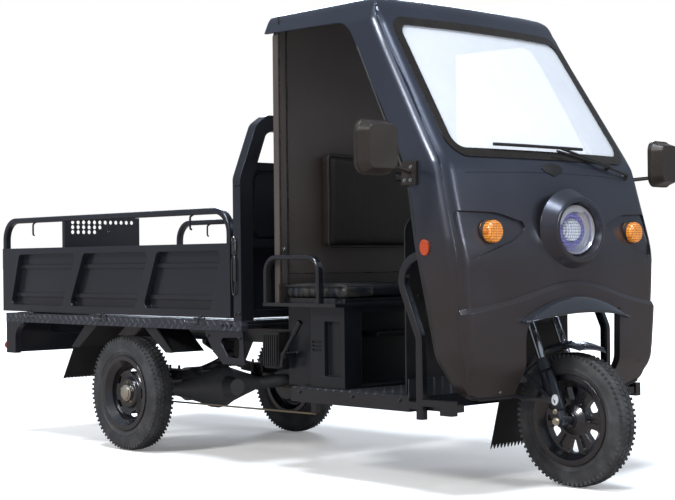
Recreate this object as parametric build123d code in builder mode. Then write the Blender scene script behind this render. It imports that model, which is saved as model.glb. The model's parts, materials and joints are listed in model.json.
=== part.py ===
"""Cargo tricycle: an electric three-wheeler with a half-open cab and a drop-side cargo bed.

X points forward, Y to the rider's left and Z up. The origin is on the ground, under the middle
of the vehicle. All lengths are millimetres.
"""

import os
from math import atan2, cos, radians, sin, sqrt, tan

from build123d import *

os.makedirs("parts", exist_ok=True)

# ---------------------------------------------------------------- driving dimensions
overall_length = 3380.0
wheelbase = 2125.0
track = 972.0

front_tyre_radius = 247.0
front_tyre_width = 90.0
rear_tyre_radius = 257.0
rear_tyre_width = 98.0
bead_seat_radius = 152.0
rim_flange_radius = 167.0
rim_flange_thickness = 6.0
rim_wall = 5.0
rim_well_depth = 22.0

front_axle_x = overall_length / 2 - front_tyre_radius
rear_axle_x = front_axle_x - wheelbase
bed_rear_x = -overall_length / 2
wheel_y = track / 2

bed_half_width = 550.0
cab_to_bed = 1262.0
bed_front_x = front_axle_x - cab_to_bed
bed_length = bed_front_x - bed_rear_x
deck_top_z = 600.0
deck_plate = 6.0
side_rail_height = 44.0
side_rail_depth = 32.0

floor_top_z = 348.0
floor_half_width = 520.0
floor_front_x = front_axle_x - 345.0
floor_length = 650.0
floor_plate = 6.0
floor_rail_height = 52.0
floor_rail_width = 40.0

running_gap = 6.0
seat_gap = 0.3
sheet = 4.0


# ---------------------------------------------------------------- shared shapes
def mirrored_y(value):
    """Both signs of a sideways distance, right side first."""
    return (-value, value)


def bar_along(points, bend_radius, section_radius):
    """Add a round bar along a bent route to the part being built."""
    with BuildLine() as route:
        if len(points) > 2:
            FilletPolyline(*points, radius=bend_radius)
        else:
            Line(*points)
    start = Plane(origin=route.line @ 0, z_dir=route.line % 0)
    with BuildSketch(start) as section:
        Circle(section_radius)
    sweep(sections=section.sketch, path=route.line)


def flat_tube_along(points, bend_radius, across, thickness, corner, across_dir=(0, 1, 0)):
    """Add a bar of rounded rectangular section along a route that lies in one plane.

    The width of the section, given by across, points along across_dir.
    """
    with BuildLine() as route:
        FilletPolyline(*points, radius=bend_radius)
    start = Plane(origin=route.line @ 0, x_dir=across_dir, z_dir=route.line % 0)
    with BuildSketch(start) as section:
        RectangleRounded(across, thickness, corner)
    sweep(sections=section.sketch, path=route.line)


def box_between(low, high, mode=Mode.ADD):
    """Add, or with another mode cut, a box given by two opposite corners."""
    centre = [(a + b) / 2 for a, b in zip(low, high)]
    size = [abs(b - a) for a, b in zip(low, high)]
    with Locations(tuple(centre)):
        Box(*size, mode=mode)


def side_plate_of(outline, y, thickness, corners=0.0, mode=Mode.ADD):
    """Add a plate seen from the side, whose outline lies at y and grows by thickness in +Y."""
    with BuildSketch(Plane.XZ.offset(-y)) as plate:
        with BuildLine():
            Polyline(*outline, close=True)
        make_face()
        if corners:
            fillet(plate.vertices(), corners)
    extrude(plate.sketch, amount=-thickness, mode=mode)


def finish(piece, label):
    """Label a finished piece and write its STEP file."""
    piece.part.label = label
    export_step(piece.part, f"parts/{label}.step")


# ---------------------------------------------------------------- tyres
bead_inset = 8.0
sidewall_bulge_radius = bead_seat_radius + 48.0
shoulder_drop = 13.0
tread_side_inset = 9.0


def tyre(name, centre, radius, width):
    """A tyre carcass round the Y axis through its wheel centre, with its beads on the rim seats."""
    rim_half = width / 2 - bead_inset
    shoulder = (radius - shoulder_drop, width / 2 - sheet)
    tread_edge = (radius, width / 2 - shoulder_drop - tread_side_inset)
    with BuildPart() as ring:
        with BuildSketch():
            with BuildLine():
                Line((bead_seat_radius, -rim_half), (bead_seat_radius, rim_half))
                Line((bead_seat_radius, rim_half), (rim_flange_radius, rim_half))
                ThreePointArc((rim_flange_radius, rim_half), (sidewall_bulge_radius, width / 2), shoulder)
                Line(shoulder, tread_edge)
                Line(tread_edge, (radius, 0))
                mirror(about=Plane.XZ)
            make_face()
        revolve(axis=Axis.Y)
    ring.part = ring.part.moved(Location(centre))
    finish(ring, name)


tyre("front_tyre", (front_axle_x, 0, front_tyre_radius), front_tyre_radius, front_tyre_width)
for side, y in zip(("right", "left"), mirrored_y(wheel_y)):
    tyre(f"rear_tyre_{side}", (rear_axle_x, y, rear_tyre_radius), rear_tyre_radius, rear_tyre_width)

# ---------------------------------------------------------------- wheels
well_inner_radius = bead_seat_radius - rim_well_depth - rim_wall
well_slope = 12.0


def rim_profile(width):
    """Points of a drop-centre rim section as radius and sideways place."""
    half = width / 2 - bead_inset
    lip = half + rim_flange_thickness
    well = bead_seat_radius - rim_well_depth
    well_edge = half - bead_inset - well_slope
    return [
        (bead_seat_radius, -half),
        (rim_flange_radius, -half),
        (rim_flange_radius, -lip),
        (bead_seat_radius - rim_wall, -lip),
        (well - rim_wall, -well_edge),
        (well - rim_wall, well_edge),
        (bead_seat_radius - rim_wall, lip),
        (rim_flange_radius, lip),
        (rim_flange_radius, half),
        (bead_seat_radius, half),
        (bead_seat_radius, half - bead_inset),
        (well, well_edge),
        (well, -well_edge),
        (bead_seat_radius, bead_inset - half),
        (bead_seat_radius, -half),
    ]


spoke_count = 6
front_hub_radius = 56.0
front_hub_width = 74.0
front_bearing_radius = 27.0
hub_shoulder = 16.0
front_axle_bore = 15.0
spoke_thickness = 30.0
window_inner_radius = 70.0
window_inner_width = 24.0
window_outer_width = 56.0
window_corner = 9.0
spoke_pocket_depth = 9.0
spoke_pocket_width = 22.0
spoke_pocket_inner_radius = 64.0
pocket_taper = 84.0
window_depth = well_inner_radius - window_inner_radius - 4.0
window_side_angle = 90 - 57.3 * (window_outer_width - window_inner_width) / 2 / window_depth

with BuildPart() as front_wheel:
    with BuildSketch():
        with BuildLine():
            Polyline(*rim_profile(front_tyre_width))
        make_face()
    revolve(axis=Axis.Y)
    with BuildSketch():
        with BuildLine():
            Polyline(
                (0, front_hub_width / 2),
                (front_bearing_radius, front_hub_width / 2),
                (front_bearing_radius + 4, front_hub_width / 2 - 8),
                (front_hub_radius - hub_shoulder, front_hub_width / 2 - 12),
                (front_hub_radius, spoke_thickness / 2),
                (front_hub_radius, 0),
                (0, 0),
                (0, front_hub_width / 2),
            )
        make_face()
        mirror(about=Plane.XZ)
    revolve(axis=Axis.Y)
    with BuildSketch(Plane.XZ.offset(-spoke_thickness / 2)):
        Circle(well_inner_radius + rim_wall / 2)
        Circle(front_hub_radius - 1, mode=Mode.SUBTRACT)
    extrude(amount=spoke_thickness)
    with BuildSketch(Plane.XZ.offset(-spoke_thickness)) as windows:
        with PolarLocations(window_inner_radius + window_depth / 2, spoke_count, 180 / spoke_count):
            Trapezoid(window_outer_width, window_depth, window_side_angle, rotation=90)
        fillet(windows.vertices(), window_corner)
    extrude(amount=2 * spoke_thickness, mode=Mode.SUBTRACT)
    pocket_length = well_inner_radius - spoke_pocket_inner_radius - 8
    for face_y in mirrored_y(spoke_thickness / 2):
        pocket_floor = face_y - (spoke_pocket_depth if face_y > 0 else -spoke_pocket_depth)
        with BuildSketch(Plane.XZ.offset(-face_y)) as pockets:
            with PolarLocations(spoke_pocket_inner_radius + pocket_length / 2, spoke_count):
                Trapezoid(spoke_pocket_width, pocket_length, pocket_taper, rotation=90)
            fillet(pockets.vertices(), 5)
        extrude(amount=face_y - pocket_floor, mode=Mode.SUBTRACT)
    with BuildSketch(Plane.XZ.offset(-front_hub_width / 2)):
        Circle(front_axle_bore)
    extrude(amount=front_hub_width, mode=Mode.SUBTRACT)
front_wheel.part = front_wheel.part.moved(Location((front_axle_x, 0, front_tyre_radius)))
finish(front_wheel, "front_wheel")

disc_thickness = 6.0
disc_hole_count = 5
disc_hole_radius = 98.0
disc_hole_length = 46.0
disc_hole_width = 25.0
disc_face_y = 24.0
disc_valley_y = 6.0
disc_crown_y = 17.0
bolt_circle_radius = 58.0
wheel_hub_radius = 46.0
hub_outer_y = 40.0
hub_cap_radius = 27.0
drum_radius = 95.0
drum_depth = 45.0
axle_stub_radius = 17.0

for side, y, outward in zip(("right", "left"), mirrored_y(wheel_y), (-1, 1)):
    with BuildPart() as rear_wheel:
        with BuildSketch():
            with BuildLine():
                Polyline(*rim_profile(rear_tyre_width))
            make_face()
        revolve(axis=Axis.Y)
        disc_face = [
            (0, disc_face_y),
            (bolt_circle_radius + 4, disc_face_y),
            (bolt_circle_radius + 16, disc_valley_y),
            (disc_hole_radius, disc_crown_y),
            (well_inner_radius - 8, disc_valley_y - 4),
            (well_inner_radius + rim_wall / 2, disc_valley_y - 6),
        ]
        with BuildSketch():
            with BuildLine() as pressing:
                outer = FilletPolyline(*[(r, outward * t) for r, t in disc_face], radius=7)
                inner = FilletPolyline(
                    *[(r, outward * (t - disc_thickness)) for r, t in disc_face], radius=7
                )
                Line(outer @ 0, inner @ 0)
                Line(outer @ 1, inner @ 1)
            make_face()
        revolve(axis=Axis.Y)
        with BuildSketch(Plane.XZ.offset(-disc_face_y)):
            with PolarLocations(disc_hole_radius, disc_hole_count):
                SlotOverall(disc_hole_length, disc_hole_width, rotation=90)
        extrude(amount=2 * disc_face_y, mode=Mode.SUBTRACT)
        with BuildSketch(Plane.XZ):
            Circle(wheel_hub_radius)
        extrude(amount=-outward * (hub_outer_y - 10), taper=12)
        with BuildSketch(Plane.XZ):
            Circle(hub_cap_radius)
        extrude(amount=-outward * hub_outer_y)
        with BuildSketch(Plane.XZ):
            Circle(drum_radius)
        extrude(amount=outward * drum_depth)
    rear_wheel.part = rear_wheel.part.moved(Location((rear_axle_x, y, rear_tyre_radius)))
    finish(rear_wheel, f"rear_wheel_{side}")

# ---------------------------------------------------------------- steering geometry
rake = radians(22.5)
fork_offset = 50.0
steering_up = Vector(-sin(rake), 0, cos(rake))
steering_ahead = Vector(cos(rake), 0, sin(rake))
front_axle = Vector(front_axle_x, 0, front_tyre_radius)
steering_foot = front_axle - steering_ahead * fork_offset


def on_steering(along, ahead=0.0, sideways=0.0):
    """A point given by its distance up the steering axis, ahead of it and to the left."""
    return steering_foot + steering_up * along + steering_ahead * ahead + Vector(0, sideways, 0)


def steering_plane(along, ahead=0.0, sideways=0.0):
    """A plane across the steering axis, its x axis pointing ahead and its y axis left."""
    return Plane(
        origin=on_steering(along, ahead, sideways), x_dir=steering_ahead, z_dir=steering_up
    )


fork_leg_spacing = 150.0
fork_sleeve_radius = 21.0
fork_collar_radius = 25.0
fork_collar_length = 38.0
fork_tube_radius = 16.0
fork_sleeve_length = 260.0
fork_lug_radius = 23.0
fork_lug_half_width = 13.0
axle_below_sleeve = 18.0
axle_nut_reach = 14.0
lower_clamp_height = 405.0
upper_clamp_height = 545.0
clamp_thickness = 22.0
clamp_margin = 25.0
steerer_radius = 14.0
head_tube_radius = 26.0
bar_radius = 11.0
handlebar_height = 930.0
handlebar_half_width = 340.0
handlebar_rise = 60.0
handlebar_sweep = 170.0
bar_centre_half = 110.0
bar_bend_y = 220.0
grip_radius = 17.0
grip_length = 120.0

leg_y = fork_leg_spacing / 2
sleeve_top = fork_sleeve_length - axle_below_sleeve

with BuildPart() as fork:
    for y in mirrored_y(leg_y):
        with BuildSketch(steering_plane(-axle_below_sleeve, fork_offset, y)):
            Circle(fork_sleeve_radius)
        extrude(amount=fork_sleeve_length)
        with BuildSketch(steering_plane(sleeve_top - fork_collar_length, fork_offset, y)):
            Circle(fork_collar_radius)
        extrude(amount=fork_collar_length)
        with BuildSketch(steering_plane(sleeve_top, fork_offset, y)):
            Circle(fork_tube_radius)
        extrude(amount=upper_clamp_height + clamp_thickness - sleeve_top + 8)
        with Locations(Location((front_axle.X, y, front_axle.Z), (90, 0, 0))):
            Cylinder(fork_lug_radius, 2 * fork_lug_half_width)
    for along in (lower_clamp_height, upper_clamp_height):
        with BuildSketch(steering_plane(along)):
            with Locations((fork_offset / 2, 0)):
                RectangleRounded(
                    fork_offset + 2 * clamp_margin, fork_leg_spacing + 2 * clamp_margin, clamp_margin - 1
                )
        extrude(amount=clamp_thickness)
    with BuildSketch(steering_plane(lower_clamp_height)):
        Circle(steerer_radius)
    extrude(amount=handlebar_height - lower_clamp_height)
    axle_half = leg_y + fork_sleeve_radius + axle_nut_reach
    with Locations(Location(front_axle, (90, 0, 0))):
        Cylinder(front_axle_bore - seat_gap, 2 * axle_half)
finish(fork, "fork")

with BuildPart() as handlebar:
    bar_foot = on_steering(handlebar_height + bar_radius)
    grip_end = Vector(-handlebar_sweep, handlebar_half_width, handlebar_rise)
    bend = Vector(-handlebar_sweep / 5, bar_bend_y, handlebar_rise)
    bar_points = [
        bar_foot + Vector(grip_end.X, -grip_end.Y, grip_end.Z),
        bar_foot + Vector(bend.X, -bend.Y, bend.Z),
        bar_foot + Vector(0, -bar_centre_half, 0),
        bar_foot + Vector(0, bar_centre_half, 0),
        bar_foot + bend,
        bar_foot + grip_end,
    ]
    bar_along(bar_points, 35, bar_radius)
    for y in (-1, 1):
        tip = bar_foot + Vector(grip_end.X, y * grip_end.Y, grip_end.Z)
        inward = (Vector(bend.X, y * bend.Y, bend.Z) - Vector(grip_end.X, y * grip_end.Y, grip_end.Z))
        with BuildSketch(Plane(origin=tip, z_dir=inward)):
            Circle(grip_radius)
        extrude(amount=grip_length)
finish(handlebar, "handlebar")

fender_radius = 290.0
fender_thickness = 4.0
fender_half_width = 66.0
fender_crown = 20.0
fender_front_angle = 60.0
fender_tip_length = 75.0
fender_sweep = 95.0
stay_thickness = 6.0
flap_half_width = 100.0
flap_thickness = 4.0
flap_bottom_z = 118.0
flap_lean = radians(14)
tooth_pitch = 20.0
tooth_height = 24.0
fender_rear_angle = radians(fender_front_angle + fender_sweep)
fender_rear_x = front_axle_x + fender_radius * cos(fender_rear_angle)
fender_rear_z = front_tyre_radius + fender_radius * sin(fender_rear_angle)

with BuildPart() as front_fender:
    front_lip = Plane(
        origin=front_axle,
        x_dir=(cos(radians(fender_front_angle)), 0, sin(radians(fender_front_angle))),
        z_dir=(sin(radians(fender_front_angle)), 0, -cos(radians(fender_front_angle))),
    )
    with BuildSketch(front_lip):
        with BuildLine():
            crest = ThreePointArc(
                (fender_radius - fender_crown, -fender_half_width),
                (fender_radius, 0),
                (fender_radius - fender_crown, fender_half_width),
            )
            underside = offset(crest, amount=fender_thickness, side=Side.LEFT)
        make_face()
    revolve(axis=Axis(front_axle, (0, -1, 0)), revolution_arc=fender_sweep)
    tip_x = front_axle_x + fender_radius * cos(radians(fender_front_angle))
    beak_start_x = tip_x - fender_tip_length
    with BuildSketch(Plane.XY.offset(front_tyre_radius)):
        for y in mirrored_y(1):
            with BuildLine():
                Polyline(
                    (tip_x - 2, 0),
                    (beak_start_x, y * fender_half_width),
                    (beak_start_x, 2 * y * fender_half_width),
                    (tip_x + fender_tip_length, 2 * y * fender_half_width),
                    (tip_x + fender_tip_length, 0),
                    close=True,
                )
            make_face()
    extrude(amount=2 * fender_radius, mode=Mode.SUBTRACT)
    for y in mirrored_y(leg_y):
        with BuildSketch(steering_plane(sleeve_top, fork_offset, y)):
            Circle(fork_tube_radius + seat_gap)
        extrude(amount=fender_radius, mode=Mode.SUBTRACT)
    for y in mirrored_y(leg_y + fork_sleeve_radius + seat_gap):
        outward = 1 if y > 0 else -1
        edge_y = outward * (fender_half_width - fender_thickness)
        stay_root = front_axle + Vector(-20, 0, 70)
        stay_low = Vector(fender_rear_x + 20, 0, fender_rear_z - 40)
        stay_high = Vector(front_axle_x - 190, 0, front_tyre_radius + 190)
        with BuildSketch(Plane.XZ.offset(-y)) as stay:
            with BuildLine():
                Polyline(
                    (stay_root.X, stay_root.Z),
                    (stay_high.X, stay_high.Z),
                    (stay_low.X, stay_low.Z),
                    close=True,
                )
            make_face()
            offset(amount=8, kind=Kind.ARC)
            offset(amount=-16, kind=Kind.INTERSECTION, mode=Mode.SUBTRACT)
        extrude(amount=-outward * stay_thickness)
        low, high = sorted((edge_y, y + outward * stay_thickness))
        box_between((stay_high.X - 6, low, stay_high.Z - 8), (stay_high.X + 6, high, stay_high.Z + 4))
finish(front_fender, "front_fender")


def toothed_flap(name_plane, half_width, length, thickness):
    """Add a rubber flap that hangs down the y axis of a plane and ends in pointed teeth."""
    teeth = round(2 * half_width / tooth_pitch)
    pitch = 2 * half_width / teeth
    points = [(-half_width, 0), (-half_width, -length)]
    for tooth in range(teeth):
        points.append((-half_width + (tooth + 0.5) * pitch, tooth_height - length))
        points.append((-half_width + (tooth + 1) * pitch, -length))
    points.append((half_width, 0))
    with BuildSketch(name_plane) as flap:
        with BuildLine():
            Polyline(*points, close=True)
        make_face()
    extrude(flap.sketch, amount=thickness)


with BuildPart() as front_mudflap:
    flap_top = Vector(fender_rear_x - seat_gap, 0, fender_rear_z)
    flap_up = Vector(sin(flap_lean), 0, cos(flap_lean))
    flap_back = Vector(-cos(flap_lean), 0, sin(flap_lean))
    toothed_flap(
        Plane(origin=flap_top, x_dir=(0, -1, 0), z_dir=flap_back),
        flap_half_width,
        (fender_rear_z - flap_bottom_z) / cos(flap_lean),
        flap_thickness,
    )
finish(front_mudflap, "front_mudflap")

# ---------------------------------------------------------------- chassis frame
chassis_rail_top_z = deck_top_z - side_rail_height
chassis_rail_height = 60.0
chassis_rail_width = 40.0
chassis_rail_y = 280.0
chassis_tail_gap = 40.0
cross_member_width = 40.0
cross_member_height = 50.0
frame_cross_places = (0.214, 0.727, 0.968)
kick_x = bed_front_x + 25.0
kick_run = 90.0
floor_rail_top_z = floor_top_z - floor_plate
floor_rail_bottom_z = floor_rail_top_z - floor_rail_height
floor_rear_x = floor_front_x - floor_length
neck_radius = 24.0
neck_setback = 25.0
neck_knee_z = 470.0
head_tube_gap = 2.0
head_tube_low = lower_clamp_height + clamp_thickness + head_tube_gap
head_tube_high = upper_clamp_height - head_tube_gap
outrigger_front_x = front_axle_x - 112.0
outrigger_drop = 14.0
outrigger_height = 26.0

axle_tube_radius = 32.0
differential_radius = 105.0
differential_half = 70.0
drum_inner_y = wheel_y - drum_depth
backing_plate_thickness = 5.0
spring_y = chassis_rail_y
spring_half_length = 430.0
spring_width = 50.0
leaf_thickness = 8.0
leaf_count = 5
leaf_step = 0.17
spring_pad = 14.0
spring_seat_z = rear_tyre_radius + axle_tube_radius + spring_pad
eye_radius = 16.0
spring_camber = 90.0
eye_z = spring_seat_z + leaf_count * leaf_thickness + spring_camber + eye_radius - leaf_thickness
hanger_half_length = 14.0
hanger_cheek = 6.0
rod_radius = 4.0
rod_front_z = 232.0
rod_y = drum_inner_y - 36.0
rod_bracket_half = 10.0
rod_bracket_length = 30.0

with BuildPart() as chassis_frame:
    rail_low_z = chassis_rail_top_z - chassis_rail_height
    for y in mirrored_y(chassis_rail_y):
        side_plate_of(
            [
                (bed_rear_x + chassis_tail_gap, chassis_rail_top_z),
                (kick_x, chassis_rail_top_z),
                (kick_x + kick_run, floor_rail_top_z),
                (floor_front_x, floor_rail_top_z),
                (floor_front_x, floor_rail_bottom_z),
                (kick_x + kick_run - 30, floor_rail_bottom_z),
                (kick_x - kick_run / 2, rail_low_z),
                (bed_rear_x + chassis_tail_gap, rail_low_z),
            ],
            y - chassis_rail_width / 2,
            chassis_rail_width,
        )
    for y in mirrored_y(floor_half_width - floor_rail_width / 2):
        box_between(
            (floor_rear_x, y - floor_rail_width / 2, floor_rail_bottom_z),
            (floor_front_x, y + floor_rail_width / 2, floor_rail_top_z),
        )
        outrigger_top_z = floor_rail_top_z - outrigger_drop
        box_between(
            (floor_front_x - 20, y - floor_rail_width / 2, outrigger_top_z - outrigger_height),
            (outrigger_front_x, y + floor_rail_width / 2, outrigger_top_z),
        )
    half = cross_member_width / 2
    for x in (floor_rear_x + half, floor_front_x - half):
        box_between(
            (x - half, -floor_half_width, floor_rail_bottom_z),
            (x + half, floor_half_width, floor_rail_top_z),
        )
    for place in frame_cross_places:
        x = bed_rear_x + place * bed_length
        box_between(
            (x - half, -chassis_rail_y, chassis_rail_top_z - cross_member_height),
            (x + half, chassis_rail_y, chassis_rail_top_z),
        )
    for y in mirrored_y(spring_y):
        cheek = spring_width / 2 + hanger_cheek
        for x in (rear_axle_x - spring_half_length, rear_axle_x + spring_half_length):
            box_between(
                (x - hanger_half_length, y - cheek, eye_z + eye_radius + seat_gap),
                (x + hanger_half_length, y + cheek, rail_low_z),
            )
    for y in mirrored_y(rod_y):
        box_between(
            (floor_rear_x, y - rod_bracket_half, rod_front_z + rod_radius + seat_gap),
            (floor_rear_x + rod_bracket_length, y + rod_bracket_half, floor_rail_bottom_z),
        )
    with BuildSketch(steering_plane(head_tube_low)):
        Circle(head_tube_radius)
    extrude(amount=head_tube_high - head_tube_low)
    neck_x = floor_front_x - neck_setback
    neck_top = on_steering((head_tube_low + head_tube_high) / 2, -head_tube_radius / 2)
    neck_knee = Vector(neck_x, 0, neck_knee_z)
    neck_foot = Vector(neck_x, 0, (floor_rail_top_z + floor_rail_bottom_z) / 2)
    bar_along([neck_top, neck_knee, neck_foot], 40, neck_radius)
    with BuildSketch(steering_plane(head_tube_low - 1)):
        Circle(steerer_radius + seat_gap)
    extrude(amount=head_tube_high - head_tube_low + 2, mode=Mode.SUBTRACT)
finish(chassis_frame, "chassis_frame")

kick_plate_height = 60.0
with BuildPart() as floor_pan:
    box_between(
        (floor_rear_x, -floor_half_width, floor_rail_top_z),
        (floor_front_x, floor_half_width, floor_top_z),
    )
    box_between(
        (floor_front_x - sheet, -floor_half_width, floor_top_z),
        (floor_front_x, floor_half_width, floor_top_z + kick_plate_height),
    )
    with BuildSketch(Plane.XY.offset(floor_rail_top_z)):
        with Locations((neck_foot.X, neck_foot.Y)):
            SlotOverall(2 * neck_setback + 4 * neck_radius, 2 * neck_radius + 4)
    extrude(amount=floor_plate + kick_plate_height, mode=Mode.SUBTRACT)
finish(floor_pan, "floor_pan")

# ---------------------------------------------------------------- rear axle and springs
axle_taper_y = 240.0
axle_cone_y = 150.0
axle_cone_radius = 58.0
axle_end_step = 30.0
nose_length = 150.0
nose_radius = 62.0

with BuildPart() as rear_axle:
    axle_end_y = drum_inner_y - seat_gap
    end_radius = axle_stub_radius + 8
    with BuildSketch():
        with BuildLine():
            Polyline(
                (0, 0),
                (differential_radius, 0),
                (differential_radius - 6, differential_half / 2),
                (differential_radius - 22, differential_half),
                (axle_cone_radius, axle_cone_y),
                (axle_tube_radius, axle_taper_y),
                (axle_tube_radius, axle_end_y - axle_end_step),
                (end_radius, axle_end_y - axle_end_step),
                (end_radius, axle_end_y),
                (0, axle_end_y),
                (0, 0),
            )
        make_face()
        mirror(about=Plane.XZ)
    revolve(axis=Axis.Y)
    for outward in (-1, 1):
        plate_y = outward * (drum_inner_y - running_gap)
        with BuildSketch(Plane.XZ.offset(-plate_y)):
            Circle(drum_radius)
        extrude(amount=outward * backing_plate_thickness)
    with BuildSketch(Plane.YZ):
        Circle(nose_radius)
    extrude(amount=nose_length, taper=8)
rear_axle.part = rear_axle.part.moved(Location((rear_axle_x, 0, rear_tyre_radius)))
finish(rear_axle, "rear_axle")

motor_radius = 80.0
motor_length = 200.0
motor_y = 60.0
cooling_fin_count = 9
cooling_fin_depth = 6.0
with BuildPart() as drive_motor:
    motor_x = rear_axle_x - differential_radius - motor_radius - seat_gap
    with Locations(Location((motor_x, motor_y, rear_tyre_radius), (90, 0, 0))):
        Cylinder(motor_radius, motor_length)
    fin_pitch = motor_length / (cooling_fin_count + 1)
    for fin in range(1, cooling_fin_count):
        fin_y = motor_y - motor_length / 2 + (fin + 0.5) * fin_pitch
        with BuildSketch(Plane.XZ.offset(-fin_y + fin_pitch / 4)):
            with Locations((motor_x, rear_tyre_radius)):
                Circle(motor_radius + 1)
                Circle(motor_radius - cooling_fin_depth, mode=Mode.SUBTRACT)
        extrude(amount=-fin_pitch / 2, mode=Mode.SUBTRACT)
finish(drive_motor, "drive_motor")

u_bolt_radius = 6.0
u_bolt_spread = 34.0
spring_plate_half = 45.0
spring_plate_margin = 14.0

with BuildPart() as leaf_springs:
    for y in mirrored_y(spring_y):
        for leaf in range(leaf_count):
            reach = spring_half_length * (1 - leaf_step * leaf)
            top = spring_seat_z + (leaf_count - leaf) * leaf_thickness
            rise = spring_camber * (reach / spring_half_length) ** 2
            with BuildSketch(Plane.XZ.offset(-y - spring_width / 2)):
                with BuildLine():
                    upper = ThreePointArc(
                        (rear_axle_x - reach, top + rise),
                        (rear_axle_x, top),
                        (rear_axle_x + reach, top + rise),
                    )
                    offset(upper, amount=leaf_thickness, side=Side.RIGHT)
                make_face()
            extrude(amount=spring_width)
        plate_half = spring_width / 2 + spring_plate_margin
        leaf_top_z = spring_seat_z + leaf_count * leaf_thickness
        box_between(
            (rear_axle_x - spring_plate_half, y - plate_half, spring_seat_z - spring_pad + seat_gap),
            (rear_axle_x + spring_plate_half, y + plate_half, spring_seat_z + 4),
        )
        box_between(
            (rear_axle_x - spring_plate_half, y - plate_half, leaf_top_z - 1),
            (rear_axle_x + spring_plate_half, y + plate_half, leaf_top_z + 9),
        )
        for bolt_y in (y - plate_half + u_bolt_radius, y + plate_half - u_bolt_radius):
            for bolt_x in (rear_axle_x - u_bolt_spread, rear_axle_x + u_bolt_spread):
                with BuildSketch(Plane.XY.offset(spring_seat_z - spring_pad + seat_gap)):
                    with Locations((bolt_x, bolt_y)):
                        Circle(u_bolt_radius)
                extrude(amount=leaf_top_z + 24 - spring_seat_z + spring_pad)
        for x in (rear_axle_x - spring_half_length, rear_axle_x + spring_half_length):
            with Locations(Location((x, y, eye_z), (90, 0, 0))):
                Cylinder(eye_radius, spring_width)
finish(leaf_springs, "leaf_springs")

# ---------------------------------------------------------------- cab shell
cab_wall = 14.0
cab_half_width = 588.0
cab_roof_half_width = 535.0
cab_bottom_half_width = 500.0
cab_bottom_corner = 110.0
cab_bottom_z = 340.0
roof_top_z = 1873.0
roof_fall = 22.0
front_bow_radius = 3600.0
cab_rear_x = front_axle_x - 1125.0
arch_half_width = 274.0
arch_top_z = 650.0
arch_corner = 100.0
brow_x = front_axle_x - 84.0
brow_z = 1190.0
screen_top_x = front_axle_x - 490.0
screen_top_z = 1822.0
far_reach = 900.0

bow_axis = Axis((front_axle_x - front_bow_radius, 0, 0), (0, 0, 1))


def cab_side_outline():
    """Outline of the cab seen from the side, front line bowed in by the revolve."""
    FilletPolyline(
        (cab_rear_x, cab_bottom_z),
        (front_axle_x - 70, cab_bottom_z),
        (front_axle_x - 4, cab_bottom_z + 110),
        (front_axle_x + 4, 860),
        (brow_x, brow_z),
        (screen_top_x, screen_top_z),
        (front_axle_x - 700, roof_top_z),
        (cab_rear_x, roof_top_z - roof_fall),
        radius=(40, 90, 400, 220, 110, 300),
    )


def cab_front_outline():
    """Outline of the cab seen from the front."""
    FilletPolyline(
        (0, cab_bottom_z),
        (cab_bottom_half_width, cab_bottom_z),
        (cab_half_width - 22, 500),
        (cab_half_width, 900),
        (cab_half_width - 12, 1240),
        (cab_roof_half_width, 1735),
        (cab_roof_half_width - 40, screen_top_z),
        (0, roof_top_z + 4),
        radius=(cab_bottom_corner, 150, 500, 900, 60, 60),
    )


def cab_block(inset):
    """A solid block with the cab's outer form, drawn in on every side by the inset."""
    with BuildPart(mode=Mode.PRIVATE) as block:
        with BuildSketch(Plane.XZ) as side_view:
            with BuildLine():
                cab_side_outline()
                Line((cab_rear_x, roof_top_z - roof_fall), (cab_rear_x, cab_bottom_z))
            make_face()
            if inset:
                offset(amount=-inset, kind=Kind.INTERSECTION)
        revolve(axis=bow_axis)
        with BuildSketch(Plane.YZ.offset(cab_rear_x - 200)) as front_view:
            with BuildLine():
                cab_front_outline()
                Line((0, roof_top_z + 4), (0, cab_bottom_z))
            make_face()
            mirror(about=Plane.YZ)
            if inset:
                offset(amount=-inset, kind=Kind.INTERSECTION)
        extrude(amount=2 * far_reach, mode=Mode.INTERSECT)
    return block.part


windshield_bottom_z = 1238.0
windshield_top_z = 1714.0
windshield_bottom_half = 478.0
windshield_top_half = 448.0
windshield_corner = 45.0
seal_width = 32.0
door_sill_z = cab_bottom_z + 12.0
door_top_z = 1738.0
door_rear_x = cab_rear_x - 200.0
door_outline = (
    (door_rear_x, door_top_z + 14),
    (front_axle_x - 640, door_top_z),
    (front_axle_x - 300, 1200),
    (front_axle_x - 165, 480),
    (front_axle_x - 112, door_sill_z),
    (front_axle_x - 96, cab_bottom_z - 60),
    (door_rear_x, cab_bottom_z - 60),
)


def windshield_outline(grow):
    """The windshield seen from the front, grown on all sides."""
    with BuildSketch(Plane.YZ.offset(front_axle_x - 700)) as outline:
        with BuildLine():
            FilletPolyline(
                (-windshield_bottom_half, windshield_bottom_z),
                (windshield_bottom_half, windshield_bottom_z),
                (windshield_top_half, windshield_top_z),
                (-windshield_top_half, windshield_top_z),
                radius=windshield_corner,
                close=True,
            )
        make_face()
        if grow:
            offset(amount=grow)
    return outline.sketch


def front_layer(outline, outer_inset, inner_inset):
    """The part of the cab wall behind an outline, between two depths below its surface."""
    with BuildPart(mode=Mode.PRIVATE) as layer:
        add(cab_block(outer_inset))
        add(cab_block(inner_inset), mode=Mode.SUBTRACT)
        extrude(outline, amount=far_reach, mode=Mode.INTERSECT)
    return layer.part


# the lower skirt of the mask stands proud below a wavy ledge that arches over the wheel opening
ledge_proud = 14.0
ledge_chamfer = 10.0
ledge_slope_height = 16.0
skirt_depth = 140.0
ledge_side_z = 684.0
ledge_centre_z = 757.0
skirt_bottom_z = cab_bottom_z - 60.0

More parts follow.
